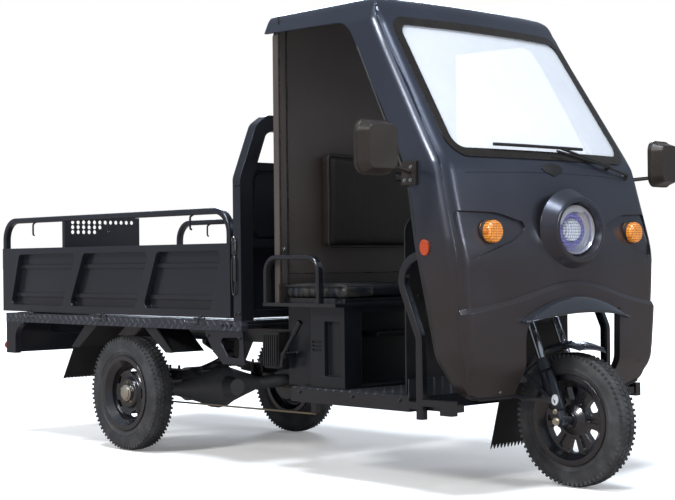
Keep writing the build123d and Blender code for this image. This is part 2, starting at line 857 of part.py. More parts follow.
with BuildSketch(Plane.YZ.offset(front_axle_x - 300)) as skirt_outline:
    with BuildLine():
        wave = Spline(
            (-620, ledge_side_z - 26),
            (-300, ledge_side_z + 20),
            (0, ledge_centre_z),
            (300, ledge_side_z + 20),
            (620, ledge_side_z - 26),
            tangents=((1, 0.1), (1, -0.1)),
        )
        Polyline(wave @ 0, (-620, skirt_bottom_z), (620, skirt_bottom_z), wave @ 1)
    make_face()

proud_block = cab_block(0).moved(Location((ledge_proud, 0, 0)))

with BuildPart(mode=Mode.PRIVATE) as skirt:
    add(proud_block)
    add(cab_block(cab_wall / 2), mode=Mode.SUBTRACT)
    extrude(skirt_outline.sketch, amount=far_reach, mode=Mode.INTERSECT)
    with Locations((front_axle_x - skirt_depth - far_reach / 2, 0, skirt_bottom_z)):
        Box(far_reach, 3 * far_reach, 2 * far_reach, mode=Mode.SUBTRACT)
    front_line = skirt.edges().filter_by(lambda edge: edge.length > far_reach).sort_by(Axis.X)[-1]
    chamfer(front_line, length=ledge_chamfer, length2=ledge_slope_height)

# the headlight stands in an oval bulge of the mask, the signals in leaf-shaped hollows
headlight_z = 944.0
bulge_base = (176.0, 153.0)
bulge_crest = (140.0, 118.0)
bulge_mouth = (124.0, 103.0)
bulge_rounding = 9.0
bulge_throat = (104.0, 84.0)
bulge_root_x = front_axle_x - 12.0
bulge_crest_x = front_axle_x + 38.0
bulge_throat_x = front_axle_x - 30.0
lamp_oval = (112.0, 92.0)
lamp_back_x = front_axle_x - 60.0
lamp_rim_x = front_axle_x + 2.0
leaf_depth = 10.0
leaf_points = (
    (-572, 1011),
    (-365, 1005),
    (-242, 972),
    (-236, 943),
    (-314, 902),
    (-501, 842),
    (-530, 842),
)
leaf_radii = (30, 300, 16, 16, 200, 16, 16)


def oval_at(x, half_sizes):
    """An upright oval round the headlight's centre, given by its half width and half height."""
    with BuildSketch(Plane.YZ.offset(x)) as oval:
        with Locations((0, headlight_z)):
            Ellipse(*half_sizes)
    return oval.sketch


def oval_horn(back_x, back_oval, front_x, front_oval):
    """A solid that runs from one oval to another along X."""
    with BuildPart(mode=Mode.PRIVATE) as horn:
        loft(sections=[oval_at(back_x, back_oval), oval_at(front_x, front_oval)])
    return horn.part


with BuildSketch(Plane.YZ.offset(front_axle_x - 300)) as leaves:
    with BuildLine():
        FilletPolyline(*leaf_points, radius=leaf_radii, close=True)
    make_face()
    mirror(about=Plane.YZ)

with BuildPart(mode=Mode.PRIVATE) as bulge:
    add(oval_horn(bulge_root_x, bulge_base, bulge_crest_x, bulge_crest))
    fillet(bulge.faces().sort_by(Axis.X)[-1].edges(), bulge_rounding)

with BuildPart() as cab_shell:
    add(cab_block(0))
    add(skirt.part)
    add(bulge.part)
    add(cab_block(cab_wall), mode=Mode.SUBTRACT)
    add(oval_horn(bulge_throat_x, bulge_throat, bulge_crest_x, bulge_mouth), mode=Mode.SUBTRACT)
    lamp_seat = [half + seat_gap for half in lamp_oval]
    add(oval_horn(lamp_back_x, lamp_seat, lamp_rim_x, lamp_seat), mode=Mode.SUBTRACT)
    add(front_layer(leaves.sketch, -ledge_proud, leaf_depth), mode=Mode.SUBTRACT)
    with BuildSketch(Plane.XZ.offset(-far_reach)) as door_opening:
        with BuildLine():
            FilletPolyline(*door_outline, radius=(0, 110, 500, 110, 10, 0, 0), close=True)
        make_face()
    extrude(door_opening.sketch, amount=2 * far_reach, mode=Mode.SUBTRACT)
    extrude(windshield_outline(seal_width), amount=far_reach, mode=Mode.SUBTRACT)
    box_between(
        (cab_rear_x - far_reach, -far_reach, 0),
        (cab_rear_x, far_reach, 2 * roof_top_z),
        mode=Mode.SUBTRACT,
    )
    with BuildSketch(Plane.YZ.offset(front_axle_x - 300)) as wheel_arch:
        with BuildLine():
            FilletPolyline(
                (-arch_half_width, cab_bottom_z - 60),
                (-arch_half_width, arch_top_z),
                (arch_half_width, arch_top_z),
                (arch_half_width, cab_bottom_z - 60),
                radius=(arch_corner, arch_corner, 0, 0),
                close=True,
            )
        make_face()
    extrude(wheel_arch.sketch, amount=far_reach, mode=Mode.SUBTRACT)
finish(cab_shell, "cab_shell")

glass_inset = 3.0
glass_thickness = 5.0
seal_lip = 4.0
glass_tuck = 12.0

with BuildPart() as windshield_glass:
    add(front_layer(windshield_outline(glass_tuck), glass_inset, glass_inset + glass_thickness))
finish(windshield_glass, "windshield_glass")

with BuildPart() as windshield_seal:
    add(front_layer(windshield_outline(seal_width), -seal_lip, cab_wall))
    extrude(windshield_outline(0), amount=far_reach, mode=Mode.SUBTRACT)
    add(windshield_glass.part, mode=Mode.SUBTRACT)
finish(windshield_seal, "windshield_seal")

# ---------------------------------------------------------------- lamps and trim of the mask
lens_shoulder = (104.0, 84.0)
lens_shoulder_x = front_axle_x + 14.0
lens_crown = (62.0, 48.0)
lens_crown_x = front_axle_x + 24.0
signal_y = 411.0
signal_z = 937.0
signal_radius = 40.0
signal_depth = 26.0
signal_back_x = front_axle_x - 60.0
signal_front_x = front_axle_x - 10.0
side_marker_x = front_axle_x - 190.0
side_marker_z = 883.0
side_marker_proud = 8.0
side_marker_half_sizes = (21.0, 28.0)

with BuildPart() as headlight:
    add(oval_horn(lamp_back_x, bulge_throat, lamp_rim_x, lamp_oval))
    add(oval_horn(lamp_rim_x, lamp_oval, lens_shoulder_x, lens_shoulder))
    add(oval_horn(lens_shoulder_x, lens_shoulder, lens_crown_x, lens_crown))
finish(headlight, "headlight")

with BuildPart() as signal_lamps:
    for y in mirrored_y(signal_y):
        with BuildSketch(Plane.YZ.offset(signal_back_x)) as base:
            with Locations((y, signal_z)):
                Circle(signal_radius)
        extrude(base.sketch, amount=signal_front_x - signal_back_x)
    rims = signal_lamps.edges().filter_by(GeomType.CIRCLE).group_by(Axis.X)[-1]
    fillet(rims, signal_depth / 2)
    add(cab_block(leaf_depth - seat_gap), mode=Mode.SUBTRACT)
    with BuildPart(mode=Mode.PRIVATE) as side_markers:
        with BuildSketch(Plane.XZ.offset(-far_reach)) as marker:
            with Locations((side_marker_x, side_marker_z)):
                Ellipse(*side_marker_half_sizes)
        extrude(marker.sketch, amount=2 * far_reach)
        add(cab_block(-side_marker_proud), mode=Mode.INTERSECT)
        add(cab_block(-seat_gap), mode=Mode.SUBTRACT)
    add(side_markers.part)
finish(signal_lamps, "signal_lamps")

visor_half_width = 302.0
visor_side_z = 616.0
visor_crest_z = 707.0
visor_lip_x = front_axle_x + 52.0
visor_wall = 4.0


def visor_block(inset):
    """The beak over the wheel arch: an arched bar whose top falls away to the front lip."""
    with BuildPart(mode=Mode.PRIVATE) as beak:
        with BuildSketch(Plane.YZ.offset(front_axle_x - 60)) as arch:
            with BuildLine():
                arc = ThreePointArc(
                    (inset - visor_half_width, visor_side_z),
                    (0, visor_crest_z - inset),
                    (visor_half_width - inset, visor_side_z),
                )
                Line(arc @ 1, arc @ 0)
            make_face()
        extrude(arch.sketch, amount=far_reach)
        with BuildSketch(Plane.XZ.offset(-visor_half_width)) as fall:
            with BuildLine():
                Polyline(
                    (front_axle_x - 60, visor_side_z),
                    (visor_lip_x - inset, visor_side_z),
                    (visor_lip_x - inset, visor_side_z + 14 - inset),
                    (front_axle_x + 4, visor_crest_z - inset),
                    (front_axle_x - 60, visor_crest_z - inset),
                    close=True,
                )
            make_face()
        extrude(fall.sketch, amount=2 * visor_half_width, mode=Mode.INTERSECT)
    return beak.part


with BuildPart() as nose_visor:
    add(visor_block(0))
    add(visor_block(visor_wall), mode=Mode.SUBTRACT)
    add(proud_block.moved(Location((seat_gap, 0, 0))), mode=Mode.SUBTRACT)
finish(nose_visor, "nose_visor")

windshield_slope = atan2(brow_x - screen_top_x, screen_top_z - brow_z)
screen_normal = Vector(cos(windshield_slope), 0, sin(windshield_slope))


def on_windshield(y, z, lift):
    """A point above the windshield, given from the front, and its height off the surface."""
    along = (z - brow_z) * tan(windshield_slope)
    surface = brow_x - along - y * y / (2 * front_bow_radius)
    return Vector(surface, y, z) + screen_normal * lift


wiper_lift = 16.0
wiper_arm_radius = 5.0
blade_radius = 6.0
wiper_pivot_radius = 9.0
wiper_pivot = (330.0, 1185.0)
wiper_joint = (60.0, 1246.0)
blade_half_length = 250.0
blade_centre_y = -50.0
with BuildPart() as wiper:
    bar_along(
        [on_windshield(*wiper_pivot, wiper_lift), on_windshield(*wiper_joint, wiper_lift)],
        0,
        wiper_arm_radius,
    )
    with BuildPart(mode=Mode.PRIVATE) as pivot:
        with BuildSketch(Plane(on_windshield(*wiper_pivot, -20), z_dir=screen_normal)) as post:
            Circle(wiper_pivot_radius)
        extrude(post.sketch, amount=24 + wiper_lift)
        add(cab_block(-seat_gap), mode=Mode.SUBTRACT)
    add(pivot.part)
    with BuildLine() as blade_route:
        ThreePointArc(
            on_windshield(blade_centre_y - blade_half_length, wiper_joint[1], wiper_lift),
            on_windshield(blade_centre_y, wiper_joint[1], wiper_lift),
            on_windshield(blade_centre_y + blade_half_length, wiper_joint[1], wiper_lift),
        )
    with BuildSketch(Plane(blade_route.line @ 0, z_dir=blade_route.line % 0)) as blade_section:
        Circle(blade_radius)
    sweep(sections=blade_section.sketch, path=blade_route.line)
finish(wiper, "wiper")

mirror_x = front_axle_x - 205.0
mirror_y = 825.0
mirror_z = 1225.0
mirror_width = 165.0
mirror_height = 190.0
mirror_rim = 14.0
mirror_bowl = 46.0
mirror_bowl_taper = 20.0
mirror_corner = 44.0
mirror_glass_margin = 10.0
mirror_glass_depth = 3.0
mirror_turn = 5.0
mirror_arm_radius = 8.0
arm_bend_radius = 10.0
arm_root_x = front_axle_x - 262.0
arm_root_z = 1150.0
arm_knee_x = front_axle_x - 225.0
arm_knee_y = 700.0
arm_end_z = 1175.0
pad_low = (front_axle_x - 300, 500, 1105)
pad_high = (front_axle_x - 230, 620, 1190)
pad_thickness = 12.0

with BuildPart() as mirrors:
    for outward in (-1, 1):
        back = Plane(
            Location((mirror_x, outward * mirror_y, mirror_z), (0, 0, outward * mirror_turn))
        )
        facing = Plane(back.origin, x_dir=back.y_dir, z_dir=back.x_dir)
        with BuildSketch(facing) as rim:
            RectangleRounded(mirror_width, mirror_height, mirror_corner)
        extrude(rim.sketch, amount=mirror_rim)
        with BuildSketch(facing.offset(mirror_rim)) as bowl:
            RectangleRounded(mirror_width - 8, mirror_height - 8, mirror_corner - 4)
        extrude(bowl.sketch, amount=mirror_bowl, taper=mirror_bowl_taper)
        with BuildSketch(facing) as glass:
            RectangleRounded(
                mirror_width - 2 * mirror_glass_margin,
                mirror_height - 2 * mirror_glass_margin,
                mirror_corner - mirror_glass_margin,
            )
        extrude(glass.sketch, amount=mirror_glass_depth, mode=Mode.SUBTRACT)
        bar_along(
            [
                Vector(arm_root_x, outward * (cab_half_width - 2), arm_root_z),
                Vector(arm_knee_x, outward * arm_knee_y, arm_root_z + 10),
                back.origin + back.x_dir * (mirror_rim + mirror_bowl / 2) - Vector(0, 0, mirror_z - arm_end_z),
            ],
            arm_bend_radius,
            mirror_arm_radius,
        )
    with BuildPart(mode=Mode.PRIVATE) as pads:
        for outward in (-1, 1):
            box_between(
                (pad_low[0], outward * pad_low[1], pad_low[2]),
                (pad_high[0], outward * pad_high[1], pad_high[2]),
            )
        add(cab_block(-pad_thickness), mode=Mode.INTERSECT)
        add(cab_block(-seat_gap), mode=Mode.SUBTRACT)
    add(pads.part)
finish(mirrors, "mirrors")

# ---------------------------------------------------------------- cab interior
wall_x = front_axle_x - 1060.0
wall_thickness = 25.0
wall_half_width = 520.0
wall_bottom_z = 676.0
wall_post_width = 40.0
wall_post_depth = 6.0
seat_half_width = 500.0
seat_front_x = front_axle_x - 700.0
seat_top_z = 750.0
seat_thickness = 55.0
seat_corner = 30.0
seat_edge = 16.0
cushion_half_width = 310.0
cushion_bottom_z = 891.0
cushion_top_z = 1275.0
cushion_thickness = 70.0
cushion_edge = 22.0

with BuildPart() as back_wall:
    box_between(
        (wall_x - wall_thickness, -wall_half_width, wall_bottom_z),
        (wall_x, wall_half_width, roof_top_z + 30),
    )
    for y in mirrored_y(wall_half_width):
        box_between(
            (wall_x, y, wall_bottom_z),
            (wall_x + wall_post_depth, y * (1 - wall_post_width / wall_half_width), roof_top_z + 30),
        )
    box_between(
        (wall_x, -wall_half_width - seat_gap, wall_bottom_z - 1),
        (wall_x + wall_post_depth + 1, wall_half_width + seat_gap, seat_top_z + seat_gap),
        mode=Mode.SUBTRACT,
    )
    add(cab_block(cab_wall + seat_gap), mode=Mode.INTERSECT)
finish(back_wall, "back_wall")

with BuildPart() as back_cushion:
    box_between(
        (wall_x + seat_gap, -cushion_half_width, cushion_bottom_z),
        (wall_x + cushion_thickness, cushion_half_width, cushion_top_z),
    )
    fillet(back_cushion.edges().filter_by(Axis.X), 2 * cushion_edge)
    fillet(back_cushion.faces().sort_by(Axis.X)[-1].edges(), cushion_edge)
finish(back_cushion, "back_cushion")

with BuildPart() as seat_cushion:
    box_between(
        (wall_x + seat_gap, -seat_half_width, seat_top_z - seat_thickness),
        (seat_front_x, seat_half_width, seat_top_z),
    )
    fillet(seat_cushion.edges().filter_by(Axis.Z), seat_corner)
    fillet(seat_cushion.faces().sort_by(Axis.Z)[-1].edges(), seat_edge)
finish(seat_cushion, "seat_cushion")

box_top_z = 662.0
box_front_x = seat_front_x - 5.0
box_step_x = front_axle_x - 899.0
box_rear_half_width = 450.0
locker_half_width = 410.0
locker_top_z = 640.0
locker_depth = 150.0
locker_floor = 12.0
shelf_half_width = 322.0
shelf_low_z = 541.0
shelf_high_z = 560.0
side_recess = (front_axle_x - 818, 395.0, front_axle_x - 726, 606.0)
side_recess_depth = 22.0
side_recess_corner = 14.0
vent_rear_x = front_axle_x - 890.0
vent_front_x = front_axle_x - 834.0
vent_places_z = (490.0, 506.0, 522.0)
vent_height = 8.0
vent_depth = 6.0

with BuildPart() as seat_box:
    box_between(
        (box_step_x, -seat_half_width, floor_top_z), (box_front_x, seat_half_width, box_top_z)
    )
    box_between(
        (wall_x - wall_thickness, -box_rear_half_width, floor_top_z),
        (box_step_x, box_rear_half_width, box_top_z),
    )
    box_between(
        (box_front_x - locker_depth, -locker_half_width, floor_top_z + locker_floor),
        (box_front_x, locker_half_width, locker_top_z),
        mode=Mode.SUBTRACT,
    )
    box_between(
        (box_front_x - locker_depth, -shelf_half_width, shelf_low_z),
        (box_front_x, shelf_half_width, shelf_high_z),
    )
    for outward in (-1, 1):
        box_between(
            (side_recess[0], outward * (seat_half_width - side_recess_depth), side_recess[1]),
            (side_recess[2], outward * seat_half_width, side_recess[3]),
            mode=Mode.SUBTRACT,
        )
        for z in vent_places_z:
            box_between(
                (vent_rear_x, outward * (seat_half_width - vent_depth), z),
                (vent_front_x, outward * seat_half_width, z + vent_height),
                mode=Mode.SUBTRACT,
            )
finish(seat_box, "seat_box")

frame_overhang = 50.0
frame_rear_margin = 40.0
cushion_rest_inset = 10.0

with BuildPart() as seat_frame:
    box_between(
        (wall_x - wall_thickness - frame_rear_margin, -seat_half_width - frame_overhang, box_top_z),
        (seat_front_x, seat_half_width + frame_overhang, wall_bottom_z),
    )
    box_between(
        (wall_x + 2, cushion_rest_inset - seat_half_width, wall_bottom_z),
        (
            seat_front_x - cushion_rest_inset,
            seat_half_width - cushion_rest_inset,
            seat_top_z - seat_thickness - seat_gap,
        ),
    )
finish(seat_frame, "seat_frame")

armrest_y = 540.0
armrest_width = 32.0
armrest_thickness = 18.0
armrest_corner = 7.0
armrest_bend = 60.0
armrest_rear_x = front_axle_x - 1109.0
armrest_front_x = front_axle_x - 798.0
armrest_top_z = 864.0

with BuildPart() as armrests:
    for y in mirrored_y(armrest_y):
        top = armrest_top_z - armrest_thickness / 2
        flat_tube_along(
            [
                Vector(armrest_rear_x, y, wall_bottom_z),
                Vector(armrest_rear_x, y, top),
                Vector(armrest_front_x, y, top),
                Vector(armrest_front_x, y, wall_bottom_z),
            ],
            armrest_bend,
            armrest_width,
            armrest_thickness,
            armrest_corner,
        )
finish(armrests, "armrests")

guard_x = front_axle_x - 266.0
guard_width = 30.0
guard_depth = 33.0
guard_corner = 6.0
guard_bends = (50.0, 80.0, 88.0)
guard_y = floor_half_width + guard_width / 2 + seat_gap
guard_foot_z = 270.0
guard_knee_z = 560.0
guard_back = (front_axle_x - 360.0, 771.0)
guard_curl = (front_axle_x - 320.0, 836.0)
guard_tip = (front_axle_x - 262.0, 858.0)
foot_bar_front_x = front_axle_x - 107.0
foot_bar_low_z = 319.0
foot_bar_high_z = 343.0
foot_post_x = front_axle_x - 164.0
foot_post_low_z = 291.0

with BuildPart() as leg_guards:
    for y in mirrored_y(guard_y):
        flat_tube_along(
            [
                Vector(guard_x, y, guard_foot_z),
                Vector(guard_x, y, guard_knee_z),
                Vector(guard_back[0], y, guard_back[1]),
                Vector(guard_curl[0], y, guard_curl[1]),
                Vector(guard_tip[0], y, guard_tip[1]),
            ],
            guard_bends,
            guard_width,
            guard_depth,
            guard_corner,
        )
        inner = y - guard_width / 2
        outer = y + guard_width / 2
        box_between(
            (guard_x + guard_depth / 2 - 2, inner, foot_bar_low_z),
            (foot_bar_front_x, outer, foot_bar_high_z),
        )
        box_between(
            (foot_post_x, inner, foot_post_low_z), (foot_bar_front_x, outer, foot_bar_high_z)
        )
finish(leg_guards, "leg_guards")

cowl_thickness = 6.0
cowl_x = floor_front_x - 60.0
cowl_top_z = 1000.0
cowl_half_width = 470.0
cowl_corner = 60.0
cowl_bead_height = 14.0
cowl_bead_depth = 6.0
cowl_bead_inset = 60.0
cowl_bead_places_z = (560.0, 700.0, 840.0)
with BuildPart() as inner_cowl:
    with BuildSketch(Plane.YZ.offset(cowl_x - cowl_thickness)) as cowl_face:
        with BuildLine():
            FilletPolyline(
                (-cowl_half_width, floor_top_z),
                (-cowl_half_width, cowl_top_z),
                (cowl_half_width, cowl_top_z),
                (cowl_half_width, floor_top_z),
                radius=(0, cowl_corner, cowl_corner, 0),
                close=True,
            )
        make_face()
    extrude(cowl_face.sketch, amount=cowl_thickness)
    for y in mirrored_y(1):
        for z in cowl_bead_places_z:
            box_between(
                (cowl_x, y * cowl_half_width / 2, z),
                (cowl_x + cowl_bead_depth, y * (cowl_half_width - cowl_bead_inset), z + cowl_bead_height),
            )
finish(inner_cowl, "inner_cowl")

# ---------------------------------------------------------------- cargo bed
panel_thickness = 35.0
tailgate_setback = 28.0
tailgate_rear_x = bed_rear_x + tailgate_setback
tailgate_side_gap = 7.0
tailgate_half_width = bed_half_width - panel_thickness - tailgate_side_gap
bed_sheet = 3.0
headboard_depth = 48.0
headboard_rear_x = bed_front_x - headboard_depth
headboard_tube = 65.0
headboard_bend_z = 1180.0
headboard_top_z = 1442.0
headboard_top_half = 400.0
headboard_shoulder = 60.0
headboard_rail_places_z = (625.0, 915.0, headboard_bend_z + 50)
headboard_rail_half = 16.0
headboard_rail_inset = 30.0
headboard_board_x = headboard_rear_x + 18.0
emboss_corner = 40.0
emboss_margin = 26.0
emboss_depth = 8.0

panel_bottom_z = 609.0
panel_top_z = 916.0
panel_skin = 4.0
panel_front_x = bed_front_x - 71.0
panel_length = panel_front_x - bed_rear_x
bay_bottom_z = panel_bottom_z + 32.0
bay_top_z = panel_top_z - 30.0
bay_top_places = ((0.086, 0.368), (0.401, 0.686), (0.719, 0.968))
bay_bottom_places = ((0.043, 0.299), (0.332, 0.627), (0.660, 0.929))
bay_corner = 24.0
bead_places_z = (690.0, 826.0)
bead_half_height = 10.0
bead_depth = 8.0
hinge_drop = 5.5
hinge_offset = 3.5
hinge_z = panel_bottom_z - hinge_drop
hinge_radius = 4.4
hinge_y = bed_half_width + hinge_offset
hinge_places = (0.137, 0.467, 0.854)
side_hinge_places = [bed_rear_x + place * bed_length for place in hinge_places]
hinge_width = 70.0
hinge_third = hinge_width / 3
knuckle_gap = 1.0
knuckle_leaf_drop = 26.0
tailgate_hinge_x = tailgate_rear_x - hinge_offset
tailgate_hinge_places = (-340.0, 0.0, 340.0)
cross_rib_places = (0.064, 0.273, 0.481, 0.690, 0.898)
cross_rib_half = 20.0
rail_web = 5.0

with BuildPart() as bed_deck:
    box_between(
        (tailgate_rear_x, -bed_half_width, deck_top_z - deck_plate),
        (bed_front_x, bed_half_width, deck_top_z),
    )
    for outward in (-1, 1):
        box_between(
            (tailgate_rear_x, outward * bed_half_width, deck_top_z - side_rail_height),
            (bed_front_x, outward * (bed_half_width - side_rail_depth), deck_top_z),
        )
    box_between(
        (tailgate_rear_x + panel_thickness + running_gap, -tailgate_half_width, deck_top_z),
        (headboard_rear_x - 1, tailgate_half_width, deck_top_z + bed_sheet),
    )
    for place in cross_rib_places:
        cross_x = bed_rear_x + place * bed_length
        box_between(
            (cross_x - cross_rib_half, 10 - bed_half_width, chassis_rail_top_z),
            (cross_x + cross_rib_half, bed_half_width - 10, deck_top_z),
        )
    for outward in (-1, 1):
        for place in side_hinge_places:
            for end in (-1, 1):
                knuckle_x = place + end * (hinge_third + knuckle_gap)
                with Locations(Location((knuckle_x, outward * hinge_y, hinge_z), (0, 90, 0))):
                    Cylinder(hinge_radius, hinge_third)
                box_between(
                    (knuckle_x - hinge_third / 2, outward * (bed_half_width - 1), hinge_z - knuckle_leaf_drop),
                    (knuckle_x + hinge_third / 2, outward * hinge_y, hinge_z),
                )
    for place in tailgate_hinge_places:
        for end in (-1, 1):
            knuckle_y = place + end * (hinge_third + knuckle_gap)
            with Locations(Location((tailgate_hinge_x, knuckle_y, hinge_z), (90, 0, 0))):
                Cylinder(hinge_radius, hinge_third)
            box_between(
                (tailgate_hinge_x, knuckle_y - hinge_third / 2, hinge_z - knuckle_leaf_drop),
                (tailgate_rear_x + 1, knuckle_y + hinge_third / 2, hinge_z),
            )
finish(bed_deck, "bed_deck")


def headboard_hoop(half_width, bend_z, shoulder_half, shoulder_z, top_half, top_z, radii):
    """Outline of a hoop that stands on the deck and leans in at its shoulders."""
    FilletPolyline(
        (-half_width, deck_top_z),
        (-half_width, bend_z),
        (-shoulder_half, shoulder_z),
        (-top_half, top_z),
        (top_half, top_z),
        (shoulder_half, shoulder_z),
        (half_width, bend_z),
        (half_width, deck_top_z),
        radius=radii,
    )
    Line((half_width, deck_top_z), (-half_width, deck_top_z))


with BuildPart() as headboard:
    with BuildSketch(Plane.YZ.offset(headboard_rear_x)) as hoop:
        with BuildLine():
            headboard_hoop(
                bed_half_width,
                headboard_bend_z,
                headboard_top_half + headboard_shoulder,
                headboard_top_z - 40,
                headboard_top_half,
                headboard_top_z,
                (60, 50, 50, 50, 50, 60),
            )
        make_face()
        with BuildLine():
            headboard_hoop(
                bed_half_width - headboard_tube,
                headboard_bend_z - 10,
                headboard_top_half + 10,
                headboard_top_z - 80,
                headboard_top_half - 20,
                headboard_top_z - headboard_tube,
                (60, 30, 30, 30, 30, 60),
            )
        make_face(mode=Mode.SUBTRACT)
    extrude(hoop.sketch, amount=headboard_depth)
    for z in headboard_rail_places_z:
        box_between(
            (headboard_rear_x + 8, headboard_rail_inset - bed_half_width, z - headboard_rail_half),
            (headboard_rear_x + 40, bed_half_width - headboard_rail_inset, z + headboard_rail_half),
        )
    box_between(
        (headboard_board_x, headboard_rail_inset - bed_half_width, headboard_rail_places_z[0]),
        (
            headboard_board_x + sheet,
            bed_half_width - headboard_rail_inset,
            headboard_rail_places_z[2],
        ),
    )
    emboss_low = headboard_rail_places_z[1] + emboss_margin
    emboss_high = headboard_rail_places_z[2] - emboss_margin
    with BuildSketch(Plane.YZ.offset(headboard_board_x - emboss_depth)) as emboss:
        with Locations((0, (emboss_low + emboss_high) / 2)):
            RectangleRounded(
                2 * (bed_half_width - headboard_tube - emboss_margin),
                emboss_high - emboss_low,
                emboss_corner,
            )
    extrude(emboss.sketch, amount=sheet + 2 * emboss_depth)
finish(headboard, "headboard")

# drop sides and tailgate, each hinged along its lower edge
hoop_top_z = 1064.0
hoop_width = 34.0
hoop_thickness = 26.0
hoop_corner = 8.0
hoop_bend = 95.0
leaf_rise = 8.0


def bay_outline(top_places, bottom_places):
    """A slanting bay of a drop side seen from the side."""
    return [
        (bed_rear_x + bottom_places[0] * panel_length, bay_bottom_z),
        (bed_rear_x + top_places[0] * panel_length, bay_top_z),
        (bed_rear_x + top_places[1] * panel_length, bay_top_z),
        (bed_rear_x + bottom_places[1] * panel_length, bay_bottom_z),
    ]


for side, outward in (("right", -1), ("left", 1)):
    outer = outward * bed_half_width
    inner = outward * (bed_half_width - panel_thickness)
    with BuildPart() as drop_side:
        box_between((bed_rear_x, inner, panel_bottom_z), (panel_front_x, outer, panel_top_z))
        bay_depth = panel_thickness - panel_skin
        bay_y = min(outer, outer - outward * bay_depth)
        for top_places, bottom_places in zip(bay_top_places, bay_bottom_places):
            side_plate_of(
                bay_outline(top_places, bottom_places),
                bay_y,
                bay_depth,
                bay_corner,
                mode=Mode.SUBTRACT,
            )
        for z in bead_places_z:
            box_between(
                (bed_rear_x + 2, inner, z - bead_half_height),
                (panel_front_x - 2, inner + outward * (panel_skin + bead_depth), z + bead_half_height),
            )
        for place in side_hinge_places:
            with Locations(Location((place, outward * hinge_y, hinge_z), (0, 90, 0))):
                Cylinder(hinge_radius, hinge_third - knuckle_gap)
            box_between(
                (place - hinge_third / 2 + knuckle_gap, outward * (hinge_y - 5), hinge_z),
                (
                    place + hinge_third / 2 - knuckle_gap,
                    outward * hinge_y,
                    panel_bottom_z + leaf_rise,
                ),
            )
    finish(drop_side, f"side_panel_{side}")
    with BuildPart() as side_hoop:
        hoop_y = outward * (bed_half_width - panel_thickness / 2)
        reach = hoop_thickness / 2
        flat_tube_along(
            [
                Vector(bed_rear_x + reach, hoop_y, panel_top_z),
                Vector(bed_rear_x + reach, hoop_y, hoop_top_z - reach),
                Vector(panel_front_x - reach, hoop_y, hoop_top_z - reach),
                Vector(panel_front_x - reach, hoop_y, panel_top_z),
            ],
            hoop_bend,
            hoop_width,
            hoop_thickness,
            hoop_corner,
        )
    finish(side_hoop, f"side_hoop_{side}")

tailgate_bay_places = ((-0.94, -0.36), (-0.30, 0.30), (0.36, 0.94))
tailgate_skin_depth = panel_thickness - panel_skin
grille_half_width = 207.0
grille_top_z = 1075.0
grille_tuck = 20.0
grille_post_width = 23.0
grille_post_depth = 24.0
grille_hole_radius = 10.0
grille_hole_pitch = 33.0
grille_hole_rows = ((1050.0, 12), (1025.0, 6), (1000.0, 5))
grille_first_y = -5.5 * grille_hole_pitch

with BuildPart() as tailgate:
    box_between(
        (tailgate_rear_x, -tailgate_half_width, panel_bottom_z),
        (tailgate_rear_x + panel_thickness, tailgate_half_width, panel_top_z),
    )
    with BuildSketch(Plane.YZ.offset(tailgate_rear_x)) as bays:
        for start, end in tailgate_bay_places:
            width = (end - start) * tailgate_half_width
            centre = (start + end) / 2 * tailgate_half_width
            with Locations((centre, (bay_bottom_z + bay_top_z) / 2)):
                RectangleRounded(width, bay_top_z - bay_bottom_z, bay_corner)
    extrude(bays.sketch, amount=tailgate_skin_depth, mode=Mode.SUBTRACT)
    bead_x = tailgate_rear_x + tailgate_skin_depth
    for z in bead_places_z:
        box_between(
            (bead_x - bead_depth, 2 - tailgate_half_width, z - bead_half_height),
            (bead_x + 1, tailgate_half_width - 2, z + bead_half_height),
        )
    grille_front_x = tailgate_rear_x + panel_thickness
    box_between(
        (grille_front_x - sheet, -grille_half_width, panel_top_z - grille_tuck),
        (grille_front_x, grille_half_width, grille_top_z),
    )
    for outward in (-1, 1):
        box_between(
            (grille_front_x - grille_post_depth, outward * grille_half_width, panel_top_z - 1),
            (grille_front_x, outward * (grille_half_width + grille_post_width), grille_top_z),
        )
    with BuildSketch(Plane.YZ.offset(grille_front_x - 2 * sheet)) as holes:
        for z, count in grille_hole_rows:
            for step in range(count):
                with Locations((grille_first_y + step * grille_hole_pitch, z)):
                    Circle(grille_hole_radius)
    extrude(holes.sketch, amount=3 * sheet, mode=Mode.SUBTRACT)
    for place in tailgate_hinge_places:
        with Locations(Location((tailgate_hinge_x, place, hinge_z), (90, 0, 0))):
            Cylinder(hinge_radius, hinge_third - knuckle_gap)
        box_between(
            (tailgate_hinge_x, place - hinge_third / 2 + knuckle_gap, hinge_z),
            (tailgate_hinge_x + 5, place + hinge_third / 2 - knuckle_gap, panel_bottom_z + leaf_rise),
        )
finish(tailgate, "tailgate")

# ---------------------------------------------------------------- under and behind the bed
tail_plate_x = bed_rear_x + 30.0
tail_plate_thickness = 6.0
tail_bottom_z = 403.0
tail_top_z = chassis_rail_top_z - seat_gap
tail_bracket_width = 30.0
tail_bracket_foot = 83.0
tail_bracket_leg = 161.0
tail_bracket_knee = 70.0

